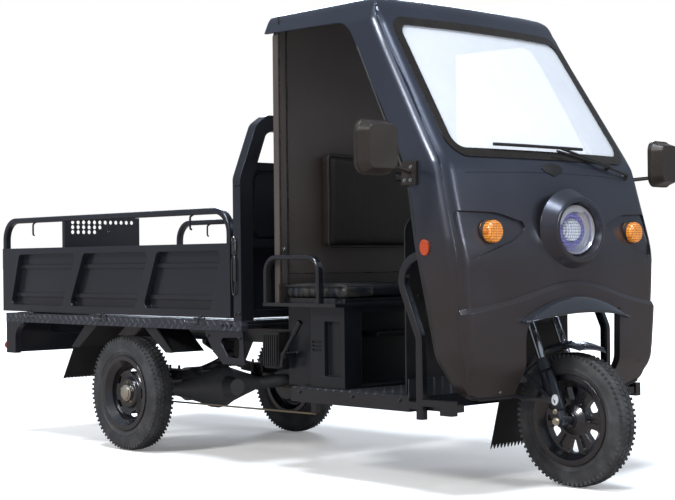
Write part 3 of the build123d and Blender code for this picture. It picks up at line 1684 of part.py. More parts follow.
with BuildPart() as tail_box:
    box_between(
        (tail_plate_x, -bed_half_width, tail_bottom_z),
        (tail_plate_x + tail_plate_thickness, bed_half_width, tail_top_z),
    )
    for y in mirrored_y(bed_half_width - tail_bracket_width / 2):
        with BuildSketch(Plane.XZ.offset(-y + tail_bracket_width / 2)) as bracket:
            with BuildLine():
                FilletPolyline(
                    (tail_plate_x, tail_bottom_z),
                    (tail_plate_x + tail_bracket_foot, tail_bottom_z),
                    (tail_plate_x + tail_bracket_foot, tail_top_z - 10),
                    (tail_plate_x + tail_bracket_leg, tail_top_z - 10),
                    (tail_plate_x + tail_bracket_leg, tail_top_z),
                    (tail_plate_x, tail_top_z),
                    radius=(0, 0, tail_bracket_knee, 0, 0, 0),
                    close=True,
                )
            make_face()
        extrude(bracket.sketch, amount=-tail_bracket_width)
finish(tail_box, "tail_box")

tail_lamp_y = 532.0
tail_lamp_z = 440.0
tail_lamp_radius = 18.0
tail_lamp_length = 24.0

with BuildPart() as tail_lamps:
    lamp_x = tail_plate_x - seat_gap - tail_lamp_length / 2
    for y in mirrored_y(tail_lamp_y):
        with Locations(Location((lamp_x, y, tail_lamp_z), (0, 90, 0))):
            Cylinder(tail_lamp_radius, tail_lamp_length)
    fillet(tail_lamps.edges().filter_by(GeomType.CIRCLE).group_by(Axis.X)[0], 6)
finish(tail_lamps, "tail_lamps")

flap_inner_y = 355.0
flap_outer_y = 545.0
flap_sheet = 5.0
gusset_inner_y = 536.0
flap_root_z = chassis_rail_top_z - seat_gap
flap_knee_z = 451.0
flap_tip_z = 300.0
rear_flap_places = (-215.0, -375.0, -471.0)
front_flap_places = (225.0, 360.0)
rear_gusset = (-186.0, -284.0, -400.0, -339.0)
front_gusset = (181.0, 270.0, 379.0, 338.0)
flap_tooth_pitch = 19.0
flap_tooth_height = 18.0

with BuildPart() as rear_mudflaps:
    flap_width = flap_outer_y - flap_inner_y
    for outward in (-1, 1):
        flap_y = min(outward * flap_inner_y, outward * flap_outer_y)
        side_plate_of(
            [
                (rear_axle_x + rear_flap_places[0], flap_root_z),
                (rear_axle_x + rear_flap_places[1], flap_knee_z),
                (rear_axle_x + rear_flap_places[2], flap_tip_z),
                (rear_axle_x + rear_flap_places[2] - flap_sheet, flap_tip_z),
                (rear_axle_x + rear_flap_places[1] - flap_sheet, flap_knee_z + flap_sheet),
                (rear_axle_x + rear_flap_places[0] - 2 * flap_sheet, flap_root_z),
            ],
            flap_y,
            flap_width,
        )
        side_plate_of(
            [
                (rear_axle_x + front_flap_places[0], flap_root_z),
                (rear_axle_x + front_flap_places[1], flap_knee_z),
                (rear_axle_x + front_flap_places[1] + flap_sheet, flap_knee_z),
                (rear_axle_x + front_flap_places[0] + 2 * flap_sheet, flap_root_z),
            ],
            flap_y,
            flap_width,
        )
        gusset_y = min(outward * gusset_inner_y, outward * flap_outer_y)
        for corners in (rear_gusset, front_gusset):
            side_plate_of(
                [
                    (rear_axle_x + corners[0], flap_root_z),
                    (rear_axle_x + corners[1], flap_root_z),
                    (rear_axle_x + corners[2], flap_knee_z),
                    (rear_axle_x + corners[3], flap_knee_z),
                ],
                gusset_y,
                flap_outer_y - gusset_inner_y,
            )
        flap_middle = outward * (flap_inner_y + flap_outer_y) / 2
        with BuildSketch(Plane.YZ.offset(rear_axle_x + rear_flap_places[2] - 4 * flap_sheet)) as notches:
            for step in range(-4, 5):
                with Locations((flap_middle + step * flap_tooth_pitch, flap_tip_z)):
                    Triangle(b=flap_tooth_pitch / 2, a=flap_tooth_height, c=flap_tooth_height)
        extrude(notches.sketch, amount=8 * flap_sheet, mode=Mode.SUBTRACT)
finish(rear_mudflaps, "rear_mudflaps")

side_plate_y = 540.0
side_plate_thickness = 5.0
side_plate_outline = ((-253, 0), (-1, 0), (12, -134), (-127, -137), (-190, -90))
side_plate_window = ((-157, -29), (-21, -25), (-22, -110), (-95, -106))
side_plate_corner = 8.0
window_plate_corner = 16.0

with BuildPart() as side_plates:
    for outward in (-1, 1):
        plate_y = min(outward * side_plate_y, outward * (side_plate_y + side_plate_thickness))
        side_plate_of(
            [(bed_front_x + x, flap_root_z + z) for x, z in side_plate_outline],
            plate_y,
            side_plate_thickness,
            side_plate_corner,
        )
        side_plate_of(
            [(bed_front_x + x, flap_root_z + z) for x, z in side_plate_window],
            plate_y,
            side_plate_thickness,
            window_plate_corner,
            mode=Mode.SUBTRACT,
        )
finish(side_plates, "side_plates")

rod_rear_setback = 10.0
rod_front_overlap = 15.0
with BuildPart() as brake_rods:
    rod_rear_z = rear_tyre_radius - axle_tube_radius - rod_radius - seat_gap
    for y in mirrored_y(rod_y):
        bar_along(
            [
                Vector(rear_axle_x - rod_rear_setback, y, rod_rear_z),
                Vector(floor_rear_x + rod_front_overlap, y, rod_front_z),
            ],
            0,
            rod_radius,
        )
finish(brake_rods, "brake_rods")

lever_radius = 8.0
lever_grip_radius = 12.0
lever_y = seat_half_width + 10.0
lever_top = (front_axle_x - 947.0, 602.0)
lever_grip_end = (front_axle_x - 985.0, 554.0)
lever_knee = (front_axle_x - 1053.0, 467.0)
lever_foot = (front_axle_x - 1063.0, 419.0)
lever_bend = 20.0
lever_pivot_radius = 14.0
with BuildPart() as handbrake:
    bar_along(
        [
            Vector(lever_top[0], -lever_y, lever_top[1]),
            Vector(lever_knee[0], -lever_y, lever_knee[1]),
            Vector(lever_foot[0], -lever_y, lever_foot[1]),
        ],
        lever_bend,
        lever_radius,
    )
    bar_along(
        [
            Vector(lever_top[0], -lever_y, lever_top[1]),
            Vector(lever_grip_end[0], -lever_y, lever_grip_end[1]),
        ],
        0,
        lever_grip_radius,
    )
    pivot_length = lever_y - box_rear_half_width - seat_gap
    with Locations(
        Location((lever_knee[0], -lever_y + pivot_length / 2, lever_knee[1]), (90, 0, 0))
    ):
        Cylinder(lever_pivot_radius, pivot_length)
finish(handbrake, "handbrake_lever")

controller_rear_x = wall_x - 120.0
controller_front_x = wall_x - wall_thickness - 5.0
controller_low = (-500.0, 410.0)
controller_high = (-300.0, 555.0)
controller_edge = 8.0
fin_count = 7
fin_depth = 10.0
fin_width = 6.0
with BuildPart() as controller_box:
    box_between(
        (controller_rear_x, *controller_low), (controller_front_x, *controller_high)
    )
    fillet(controller_box.edges().filter_by(Axis.X), controller_edge)
    span = controller_front_x - controller_rear_x
    for fin in range(fin_count):
        fin_x = controller_rear_x + (fin + 0.5) * span / fin_count
        box_between(
            (fin_x - fin_width / 2, controller_low[0] - fin_depth, controller_low[1] + fin_depth),
            (fin_x + fin_width / 2, controller_low[0] + 1, controller_high[1] - fin_depth),
        )
finish(controller_box, "controller_box")
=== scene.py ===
"""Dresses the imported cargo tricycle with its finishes, tread, upholstery, fittings and studio."""

from __future__ import annotations

import json
import logging
from collections.abc import Iterable, Sequence
from dataclasses import dataclass, field
from enum import Enum
from math import atan2, cos, pi, radians, sin, sqrt, tau
from typing import ClassVar

import bmesh
import bpy
from mathutils import Matrix, Vector
from mathutils.bvhtree import BVHTree
from mathutils.geometry import barycentric_transform

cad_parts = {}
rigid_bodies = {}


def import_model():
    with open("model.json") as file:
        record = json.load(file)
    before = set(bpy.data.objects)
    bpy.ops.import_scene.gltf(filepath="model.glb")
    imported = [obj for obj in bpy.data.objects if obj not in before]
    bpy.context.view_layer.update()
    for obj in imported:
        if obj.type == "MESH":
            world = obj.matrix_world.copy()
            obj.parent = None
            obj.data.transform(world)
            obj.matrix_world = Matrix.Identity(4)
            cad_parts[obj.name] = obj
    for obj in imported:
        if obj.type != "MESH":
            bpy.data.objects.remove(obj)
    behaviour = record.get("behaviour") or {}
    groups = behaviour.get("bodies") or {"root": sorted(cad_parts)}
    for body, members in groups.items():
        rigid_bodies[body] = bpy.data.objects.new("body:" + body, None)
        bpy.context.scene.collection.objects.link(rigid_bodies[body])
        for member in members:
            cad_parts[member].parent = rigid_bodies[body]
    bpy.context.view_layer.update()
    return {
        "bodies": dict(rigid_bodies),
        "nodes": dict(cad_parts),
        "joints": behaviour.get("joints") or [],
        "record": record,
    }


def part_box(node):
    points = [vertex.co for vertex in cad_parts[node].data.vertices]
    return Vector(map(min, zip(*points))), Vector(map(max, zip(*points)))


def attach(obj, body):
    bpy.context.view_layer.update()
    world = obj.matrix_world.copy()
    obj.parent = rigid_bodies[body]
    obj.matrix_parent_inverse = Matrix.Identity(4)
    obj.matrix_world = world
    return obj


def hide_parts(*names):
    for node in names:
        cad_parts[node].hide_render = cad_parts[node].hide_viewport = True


logging.basicConfig(level=logging.INFO, format="%(message)s")
LOG = logging.getLogger("tricycle")

Colour = tuple[float, float, float]
Point = tuple[float, float, float]

SIDES: tuple[tuple[float, str], ...] = ((-1.0, "right"), (1.0, "left"))


class Body(Enum):
    """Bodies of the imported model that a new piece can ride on."""

    VEHICLE = "vehicle"
    STEERING = "steering"
    FRONT_WHEEL = "front_wheel_body"
    WHEEL_RIGHT = "rear_wheel_right_body"
    WHEEL_LEFT = "rear_wheel_left_body"
    SIDE_RIGHT = "drop_side_right"
    SIDE_LEFT = "drop_side_left"


# ------------------------------------------------------------------ shader building
class Value:
    """A shader socket that takes part in Python arithmetic."""

    def __init__(self, graph: Graph, socket: bpy.types.NodeSocket) -> None:
        """Wraps an output socket of a node.

        Args:
            graph: The material that the socket belongs to.
            socket: The output socket.
        """
        self.graph = graph
        self.socket = socket

    def _maths(self, operation: str, first: Operand, second: Operand = 0.0) -> Value:
        """Adds a Math node for two operands and returns its result."""
        return self.graph.node("ShaderNodeMath", {"operation": operation}, {0: first, 1: second}).out()

    def __add__(self, other: Operand) -> Value:
        """The sum of this value and another."""
        return self._maths("ADD", self, other)

    __radd__ = __add__

    def __sub__(self, other: Operand) -> Value:
        """This value less another."""
        return self._maths("SUBTRACT", self, other)

    def __rsub__(self, other: Operand) -> Value:
        """Another value less this one."""
        return self._maths("SUBTRACT", other, self)

    def __mul__(self, other: Operand) -> Value:
        """The product of this value and another."""
        return self._maths("MULTIPLY", self, other)

    def __pow__(self, other: Operand) -> Value:
        """This value to a power."""
        return self._maths("POWER", self, other)

    def __mod__(self, other: Operand) -> Value:
        """What is left of this value after division, never negative."""
        return self._maths("FLOORED_MODULO", self, other)

    def __abs__(self) -> Value:
        """The size of this value without its sign."""
        return self._maths("ABSOLUTE", self)

    def __lt__(self, other: Operand) -> Value:
        """One where this value is under another, otherwise nought."""
        return self._maths("LESS_THAN", self, other)

    def __gt__(self, other: Operand) -> Value:
        """One where this value is over another, otherwise nought."""
        return self._maths("GREATER_THAN", self, other)

    def sine(self) -> Value:
        """The sine of this value in radians."""
        return self._maths("SINE", self)

    def highest(self, other: Operand) -> Value:
        """The larger of this value and another."""
        return self._maths("MAXIMUM", self, other)

    def ease(self, low: float, high: float) -> Value:
        """Nought below one level, one above another, smooth in between.

        Args:
            low: The level where the result is nought.
            high: The level where the result is one.

        Returns:
            The eased value.
        """
        return self.graph.node(
            "ShaderNodeMapRange",
            {"interpolation_type": "SMOOTHSTEP"},
            {"Value": self, "From Min": low, "From Max": high},
        ).out()


Operand = Value | float


class NodeHandle:
    """A node whose outputs are read as values."""

    def __init__(self, graph: Graph, node: bpy.types.Node) -> None:
        """Keeps a node together with its tree."""
        self.graph = graph
        self.node = node

    def out(self, name: str | int = 0) -> Value:
        """One output of the node, by name or place."""
        return Value(self.graph, self.node.outputs[name])


class Graph:
    """A node tree that is written as Python expressions."""

    def __init__(self, tree: bpy.types.NodeTree) -> None:
        """Takes over a node tree and empties it."""
        self.tree = tree
        self.tree.nodes.clear()

    def node(
        self,
        kind: str,
        settings: dict[str, object] | None = None,
        inputs: dict[str | int, object] | None = None,
    ) -> NodeHandle:
        """Adds a node of any type.

        Args:
            kind: The node's type name.
            settings: The node's own properties, set before its sockets.
            inputs: Numbers, colours or values for its sockets.

        Returns:
            The new node.
        """
        made = self.tree.nodes.new(kind)
        for key, value in (settings or {}).items():
            setattr(made, key, value)
        for key, value in (inputs or {}).items():
            self.feed(made.inputs[key], value)
        return NodeHandle(self, made)

    def feed(self, socket: bpy.types.NodeSocket, value: object) -> None:
        """Links a value to a socket, or sets a constant on it.

        Args:
            socket: The input socket.
            value: A value of this tree, a number or a colour.
        """
        if isinstance(value, Value):
            self.tree.links.new(value.socket, socket)
        elif isinstance(value, tuple) and socket.type == "RGBA":
            socket.default_value = (*value, 1.0)
        else:
            socket.default_value = value

    def place(self) -> Value:
        """The coordinates of the shaded point, in metres."""
        return self.node("ShaderNodeTexCoord").out("Object")

    def axes(self) -> tuple[Value, Value, Value]:
        """The three coordinates of the shaded point, apart."""
        split = self.node("ShaderNodeSeparateXYZ", {}, {0: self.place()})
        return split.out(0), split.out(1), split.out(2)

    def noise(
        self, scale: float, detail: float = 3.0, roughness: float = 0.5, stretch: Point | None = None
    ) -> Value:
        """Smooth noise between nought and one.

        Args:
            scale: Features per metre.
            detail: How many finer layers it has.
            roughness: How strong the finer layers are.
            stretch: Scale of the coordinates along each axis, or None.

        Returns:
            The noise.
        """
        where = self.place()
        if stretch:
            where = self.node("ShaderNodeMapping", {}, {"Vector": where, "Scale": stretch}).out()
        inputs = {"Vector": where, "Scale": scale, "Detail": detail, "Roughness": roughness}
        return self.node("ShaderNodeTexNoise", {}, inputs).out(0)

    def cells(self, scale: float) -> Value:
        """Distances to scattered points, as in leather grain."""
        return self.node("ShaderNodeTexVoronoi", {}, {"Vector": self.place(), "Scale": scale}).out(0)

    def blend(self, factor: Operand, first: Colour | Value, second: Colour | Value) -> Value:
        """A colour between two others.

        Args:
            factor: Nought for the first colour and one for the second.
            first: A colour or a value that carries one.
            second: A colour or a value that carries one.

        Returns:
            The blended colour.
        """
        factor_socket, first_socket, second_socket, result_socket = 0, 6, 7, 2
        inputs = {factor_socket: factor, first_socket: first, second_socket: second}
        return self.node("ShaderNodeMix", {"data_type": "RGBA"}, inputs).out(result_socket)

    def mix(self, factor: Value, first: Value, second: Value) -> Value:
        """One of two shaders, or a share of both."""
        return self.node("ShaderNodeMixShader", {}, {0: factor, 1: first, 2: second}).out()

    def soft_edges(self, radius: float) -> Value:
        """A surface normal that turns round the edges of a sheet, as if they were bent."""
        return self.node("ShaderNodeBevel", {"samples": 4}, {"Radius": radius}).out()

    def bump(self, height: Value, depth: float, after: Value | None = None) -> Value:
        """A surface normal that follows a height.

        Args:
            height: The height, from nought to one.
            depth: Its full height in metres.
            after: A normal from another bump that this one adds to.

        Returns:
            The normal.
        """
        inputs: dict[str | int, object] = {"Height": height, "Distance": depth, "Strength": 1.0}
        if after is not None:
            inputs["Normal"] = after
        return self.node("ShaderNodeBump", {}, inputs).out()


class Surfacing(Graph):
    """The node tree of one material, round its surface shader."""

    def __init__(self, name: str) -> None:
        """Starts a material.

        Args:
            name: The name of the material.
        """
        self.material = bpy.data.materials.new(name)
        self.material.use_nodes = True
        super().__init__(self.material.node_tree)
        self.shader = self.node("ShaderNodeBsdfPrincipled")
        self.node("ShaderNodeOutputMaterial", {}, {"Surface": self.shader.out()})

    def set(self, **inputs: object) -> None:
        """Sets inputs of the surface shader, with underscores for the spaces in their names."""
        for key, value in inputs.items():
            self.feed(self.shader.node.inputs[key.replace("_", " ")], value)


# ------------------------------------------------------------------ finishes
@dataclass(frozen=True)
class Paint:
    """Sprayed paint with an orange-peel skin, dust, and a tone that shifts with height as a painted
    reflection of the warm floor below and the bluish light above.
    """

    name: str
    slot: str
    # Painted reflection: the colour low down stands in for the warm floor reflected in the paint, and
    # the colour high up, bluer on the shell, for the bluish light above; between warm_below and
    # cool_above one turns into the other.
    colour: Colour
    reflected_floor_colour: Colour
    warm_below: float = 0.3
    cool_above: float = 1.3
    roughness: float = 0.42
    spread: float = 0.10
    metallic: float = 0.25
    coat: float = 0.0
    coat_roughness: float = 0.2
    # tint colours the paint's reflections; its bluish values are painted colour standing in for bluish
    # light.
    tint: Colour = (1.0, 1.0, 1.0)
    peel_scale: float = 420.0
    peel_depth: float = 0.00012
    dust: float = 0.10
    edge: float = 0.003
    shine: float = 0.8

    def make(self) -> bpy.types.Material:
        """Builds the material.

        Returns:
            The paint.
        """
        graph = Surfacing(self.name)
        height = graph.axes()[2]
        cloud = graph.noise(3.0, detail=4.0)
        grime = graph.noise(26.0, detail=6.0, roughness=0.6).ease(0.52, 0.80)
        # Painted reflection: the reflected floor's colour low down, the paint's bluer colour high up.
        reflection_toned = graph.blend(height.ease(self.warm_below, self.cool_above), self.reflected_floor_colour, self.colour)
        lighter = tuple(min(1.0, 1.5 * part + 0.012) for part in self.colour)
        dusty = graph.blend(grime * self.dust, reflection_toned, lighter)
        graph.set(
            Base_Color=graph.blend(cloud.ease(0.35, 0.75) * 0.22, dusty, lighter),
            Roughness=self.roughness + (cloud - 0.5) * self.spread + grime * 0.06,
            Metallic=self.metallic,
            Coat_Weight=self.coat,
            Coat_Roughness=self.coat_roughness,
            Specular_Tint=self.tint,
            Specular_IOR_Level=self.shine,
            Normal=graph.bump(
                graph.noise(self.peel_scale, detail=2.0), self.peel_depth, graph.soft_edges(self.edge)
            ),
        )
        return graph.material


@dataclass(frozen=True)
class Rubber:
    """Moulded rubber, paler where it is dusty."""

    name: str
    slot: str
    colour: Colour
    dust_colour: Colour
    dust: float = 0.45
    roughness: float = 0.72
    grain_scale: float = 300.0
    grain_depth: float = 0.0004

    def make(self) -> bpy.types.Material:
        """Builds the material.

        Returns:
            The rubber.
        """
        graph = Surfacing(self.name)
        patches = graph.noise(14.0, detail=5.0, roughness=0.6).ease(0.35, 0.8)
        specks = graph.noise(160.0, detail=3.0).ease(0.45, 0.8)
        graph.set(
            Base_Color=graph.blend(
                (patches * 0.7 + specks * 0.3) * self.dust, self.colour, self.dust_colour
            ),
            Roughness=self.roughness + patches * 0.15 - specks * 0.06,
            Normal=graph.bump(graph.noise(self.grain_scale, detail=3.0), self.grain_depth),
        )
        return graph.material


@dataclass(frozen=True)
class Plastic:
    """Moulded plastic with a fine spark-eroded grain."""

    name: str
    slot: str
    colour: Colour
    worn_colour: Colour
    roughness: float = 0.5
    grain_scale: float = 900.0
    grain_depth: float = 0.00018
    edge: float = 0.0025

    def make(self) -> bpy.types.Material:
        """Builds the material.

        Returns:
            The plastic.
        """
        graph = Surfacing(self.name)
        cloud = graph.noise(7.0, detail=4.0)
        grain = graph.cells(self.grain_scale)
        graph.set(
            Base_Color=graph.blend(cloud.ease(0.4, 0.75) * 0.6, self.colour, self.worn_colour),
            Roughness=self.roughness + (cloud - 0.5) * 0.14,
            Normal=graph.bump(grain, self.grain_depth, graph.soft_edges(self.edge)),
        )
        return graph.material


@dataclass(frozen=True)
class Vinyl:
    """Coated cloth for seats, with a leather grain and slight creases."""

    name: str
    slot: str
    colour: Colour
    sheen_colour: Colour
    roughness: float = 0.46
    grain_scale: float = 520.0
    grain_depth: float = 0.00035
    crease_depth: float = 0.0012
    loose_from: float | None = None
    loose_colour: Colour = (0.050, 0.048, 0.040)

    def make(self) -> bpy.types.Material:
        """Builds the material.

        Returns:
            The vinyl.
        """
        graph = Surfacing(self.name)
        cloud = graph.noise(6.0, detail=4.0)
        grain = graph.cells(self.grain_scale)
        creases = graph.noise(9.0, detail=3.0, roughness=0.5, stretch=(1.0, 3.0, 1.0))
        first = graph.bump(creases, self.crease_depth)
        tone = graph.blend(cloud.ease(0.3, 0.8) * 0.6 + grain * 0.15, self.colour, self.sheen_colour)
        if self.loose_from is not None:
            across = graph.axes()[1]
            loose = (self.loose_from - across).ease(0.0, 0.015)
            folds = graph.noise(24.0, detail=3.0, roughness=0.5, stretch=(1.6, 0.5, 1.0))
            first = graph.bump(folds * loose, 0.010, first)
            tone = graph.blend(loose * folds.ease(0.35, 0.65), tone, self.loose_colour)
        graph.set(
            Base_Color=tone,
            Roughness=self.roughness + (cloud - 0.5) * 0.16 + grain * 0.05,
            Normal=graph.bump(grain, self.grain_depth, first),
        )
        return graph.material


@dataclass(frozen=True)
class Metal:
    """Bare or plated metal with brushing along one axis and spots of tarnish."""

    name: str
    slot: str
    colour: Colour
    stain_colour: Colour
    stain: float = 0.3
    roughness: float = 0.22
    stretch: Point = (1.0, 1.0, 0.08)
    brush_scale: float = 240.0
    brush_depth: float = 0.00006

    def make(self) -> bpy.types.Material:
        """Builds the material.

        Returns:
            The metal.
        """
        graph = Surfacing(self.name)
        brushed = graph.noise(self.brush_scale, detail=3.0, roughness=0.6, stretch=self.stretch)
        spots = graph.noise(38.0, detail=5.0, roughness=0.6).ease(0.55, 0.78)
        graph.set(
            Base_Color=graph.blend(spots * self.stain, self.colour, self.stain_colour),
            Metallic=1.0 - spots * self.stain * 0.5,
            Roughness=self.roughness + (brushed - 0.5) * 0.12 + spots * 0.12,
            Normal=graph.bump(brushed, self.brush_depth),
        )
        return graph.material


@dataclass(frozen=True)
class Lens:
    """A moulded lamp lens with square pillows inside a clear skin, lighter on the pillows' crowns as
    painted glints and darker between them as painted shade.
    """

    name: str
    slot: str
    colour: Colour
    pillow_shade_colour: Colour
    pillow_pitch: float = 0.009
    emission: float = 0.0
    depth: float = 0.0016
    rear_colour: Colour | None = None
    rear_from: float = 0.0

    def make(self) -> bpy.types.Material:
        """Builds the material.

        Returns:
            The lens.
        """
        graph = Surfacing(self.name)
        _, across, up = graph.axes()
        rows = (across * (pi / self.pillow_pitch)).sine()
        columns = (up * (pi / self.pillow_pitch)).sine()
        pillows = (abs(rows) * abs(columns)) ** 0.6
        sparkle = graph.noise(90.0, detail=4.0, roughness=0.6)
        # Painted glints and shade: the colour is lighter on the pillows' crowns and in sparkle noise,
        # darker between the pillows.
        clear = (pillows * 0.6 + sparkle * 0.6).ease(0.25, 0.95)
        tone = graph.blend(clear, self.pillow_shade_colour, self.colour)
        if self.rear_colour is not None:
            behind = graph.axes()[0] < self.rear_from
            tone = graph.blend(behind, tone, self.rear_colour)
        graph.set(
            Base_Color=tone,
            Roughness=0.12 + sparkle * 0.12,
            Coat_Weight=1.0,
            Coat_Roughness=0.03,
            Emission_Color=self.colour,
            Emission_Strength=self.emission,
            Normal=graph.bump(pillows, self.depth),
        )
        return graph.material


@dataclass(frozen=True)
class Glass:
    """A thin clear pane, kept mostly transparent by its alpha, whose near-white colour and patchy
    opacity are a painted reflection of the bright surroundings.
    """

    name: str
    slot: str
    colour: Colour = (0.88, 0.92, 0.98)
    clear: float = 0.56
    reflection_haze: float = 0.12

    def make(self) -> bpy.types.Material:
        """Builds the material.

        Returns:
            The glass.
        """
        graph = Surfacing(self.name)
        # Painted reflection: in noise patches the pane is whiter and less clear; smears add roughness
        # and a little opacity.
        reflection_patches = graph.noise(2.2, detail=3.0).ease(0.35, 0.85)
        smears = graph.noise(16.0, detail=4.0, roughness=0.6, stretch=(1.0, 1.0, 0.25)).ease(0.5, 0.9)
        graph.set(
            Base_Color=graph.blend(reflection_patches * 0.4, self.colour, (0.95, 0.97, 1.0)),
            Roughness=0.04 + smears * 0.08,
            Alpha=self.clear + reflection_patches * self.reflection_haze + smears * 0.04,
            Specular_IOR_Level=0.6,
        )
        return graph.material


@dataclass(frozen=True)
class TreadPlate:
    """Painted sheet with raised bars that lean one way and the other in turn."""

    name: str
    slot: str
    colour: Colour
    rubbed_colour: Colour
    pitch: float = 0.045
    bar_length: float = 0.036
    bar_width: float = 0.009
    depth: float = 0.0022
    across_axis: int = 1
    roughness: float = 0.36
    edge: float = 0.003

    def make(self) -> bpy.types.Material:
        """Builds the material.

        Returns:
            The tread plate.
        """
        graph = Surfacing(self.name)
        axes = graph.axes()
        along = axes[0]
        across = axes[self.across_axis]
        bars = self._bars(along, across, 1.0, 0.0).highest(
            self._bars(along, across, -1.0, self.pitch / 2)
        )
        cloud = graph.noise(8.0, detail=4.0)
        rubbed = bars * cloud.ease(0.3, 0.7) * 0.5
        graph.set(
            Base_Color=graph.blend(rubbed, self.colour, self.rubbed_colour),
            Roughness=self.roughness + (cloud - 0.5) * 0.2,
            Metallic=0.25,
            Normal=graph.bump(bars, self.depth, graph.soft_edges(self.edge)),
        )
        return graph.material

    def _bars(self, along: Value, across: Value, lean: float, shift: float) -> Value:
        """Raised bars of one lean, on a square lattice.

        Args:
            along: The coordinate along the sheet.
            across: The coordinate across the sheet.
            lean: One or minus one, for the way the bars lean.
            shift: How far the lattice is moved from the other one.

        Returns:
            One on the bars and nought off them.
        """
        local_along = ((along + shift) % self.pitch) - self.pitch / 2
        local_across = ((across + shift) % self.pitch) - self.pitch / 2
        forward = (local_along + local_across * lean) * sqrt(0.5)
        sideways = (local_across - local_along * lean) * sqrt(0.5)
        reach = (abs(forward) * (2.0 / self.bar_length)) ** 2.0
        width = (abs(sideways) * (2.0 / self.bar_width)) ** 2.0
        return 1.0 - (reach + width).ease(0.55, 1.1)


@dataclass(frozen=True)
class ForkFinish:
    """Dark painted fork whose sliding tubes are hard chrome between the sleeves and the clamp."""

    name: str
    slot: str
    foot: Point
    lean: float
    tube_from: float = 0.243
    tube_to: float = 0.402
    colour: Colour = (0.030, 0.033, 0.042)
    chrome: Colour = (0.80, 0.82, 0.86)

    def make(self) -> bpy.types.Material:
        """Builds the material.

        Returns:
            The fork's finish.
        """
        graph = Surfacing(self.name)
        ahead, _, up = graph.axes()
        along = (ahead - self.foot[0]) * -sin(self.lean) + (up - self.foot[2]) * cos(self.lean)
        bare = (along > self.tube_from) * (along < self.tube_to)
        cloud = graph.noise(12.0, detail=4.0)
        graph.set(
            Base_Color=graph.blend(bare, self.colour, self.chrome),
            Metallic=bare * 0.75 + 0.25,
            Roughness=0.40 - bare * 0.28 + (cloud - 0.5) * 0.12,
            Normal=graph.bump(graph.noise(500.0, detail=2.0), 0.00006),
        )
        return graph.material


# ------------------------------------------------------------------ making pieces
class Workshop:
    """Turns bmesh work and rod routes into finished pieces that ride on their bodies."""

    smooth_limit: ClassVar[float] = radians(34)

    def __init__(self, wardrobe: Wardrobe) -> None:
        """Starts with an empty tally.

        Args:
            wardrobe: The finishes that its pieces wear.
        """
        self.wardrobe = wardrobe
        self.count = 0

    def piece(
        self,
        name: str,
        form: bmesh.types.BMesh,
        use: str,
        body: Body = Body.VEHICLE,
        smooth: float | None = None,
    ) -> bpy.types.Object:
        """Makes a mesh object from a bmesh, which it frees.

        Args:
            name: Name of the piece.
            form: Its shape in the row frame, in metres.
            use: The name of its finish in the wardrobe.
            body: The body it rides on.
            smooth: Edges sharper than this angle stay sharp, in radians.

        Returns:
            The finished piece.
        """
        bmesh.ops.recalc_face_normals(form, faces=form.faces)
        mesh = bpy.data.meshes.new(name)
        form.to_mesh(mesh)
        form.free()
        mesh.shade_smooth()
        limit = smooth if smooth is not None else self.smooth_limit
        if limit < pi:
            mesh.set_sharp_from_angle(angle=limit)
        return self._settle(name, mesh, use, body)

    def rods(
        self,
        name: str,
        routes: Iterable[Sequence[Point | Vector]],
        radius: float,
        use: str,
        body: Body = Body.VEHICLE,
        closed: bool = False,
    ) -> bpy.types.Object:
        """Makes round rods that run smoothly along routes, as one mesh.

        Args:
            name: Name of the piece.
            routes: Points of each rod.
            radius: Radius of the rods.
            use: The name of their finish in the wardrobe.
            body: The body they ride on.
            closed: Whether each route is a ring.

        Returns:
            The finished piece.
        """
        curve = bpy.data.curves.new(name + "_route", "CURVE")
        curve.dimensions = "3D"
        curve.bevel_depth = radius
        curve.bevel_resolution = 2
        curve.resolution_u = 6
        curve.use_fill_caps = True
        for route in routes:
            spline = curve.splines.new("NURBS")
            spline.points.add(len(route) - 1)
            for point, place in zip(spline.points, route):
                point.co = (*place, 1.0)
            spline.use_cyclic_u = closed
            spline.order_u = 3
            spline.use_endpoint_u = not closed
        carrier = bpy.data.objects.new(name + "_carrier", curve)
        bpy.context.scene.collection.objects.link(carrier)
        bpy.context.view_layer.update()
        depsgraph = bpy.context.evaluated_depsgraph_get()
        mesh = bpy.data.meshes.new_from_object(carrier.evaluated_get(depsgraph))
        bpy.data.objects.remove(carrier)
        bpy.data.curves.remove(curve)
        mesh.name = name
        mesh.materials.clear()
        mesh.shade_smooth()
        return self._settle(name, mesh, use, body)

    def _settle(self, name: str, mesh: bpy.types.Mesh, use: str, body: Body) -> bpy.types.Object:
        """Makes a mesh a piece: gives it its finish, puts it on its body and counts it.

        Args:
            name: Name of the piece.
            mesh: Its mesh.
            use: The name of its finish in the wardrobe.
            body: The body it rides on.

        Returns:
            The piece.
        """
        mesh.materials.append(self.wardrobe.finishes[use])
        made = bpy.data.objects.new(name, mesh)
        bpy.context.scene.collection.objects.link(made)
        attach(made, body.value)
        self.count += 1
        LOG.info("%s on %s: %d faces", made.name, body.value, len(mesh.polygons))
        return made


def facing(normal: Vector) -> Matrix:
    """A turn that takes +Z to a direction and keeps +Y near the vertical where it can.

    Args:
        normal: The direction that +Z takes.

    Returns:
        The turn as a 4x4 matrix.
    """
    axis = normal.normalized()
    guide = Vector((0, 0, 1)) if abs(axis.z) < 0.9 else Vector((1, 0, 0))
    side = guide.cross(axis).normalized()
    return Matrix((side, axis.cross(side), axis)).transposed().to_4x4()


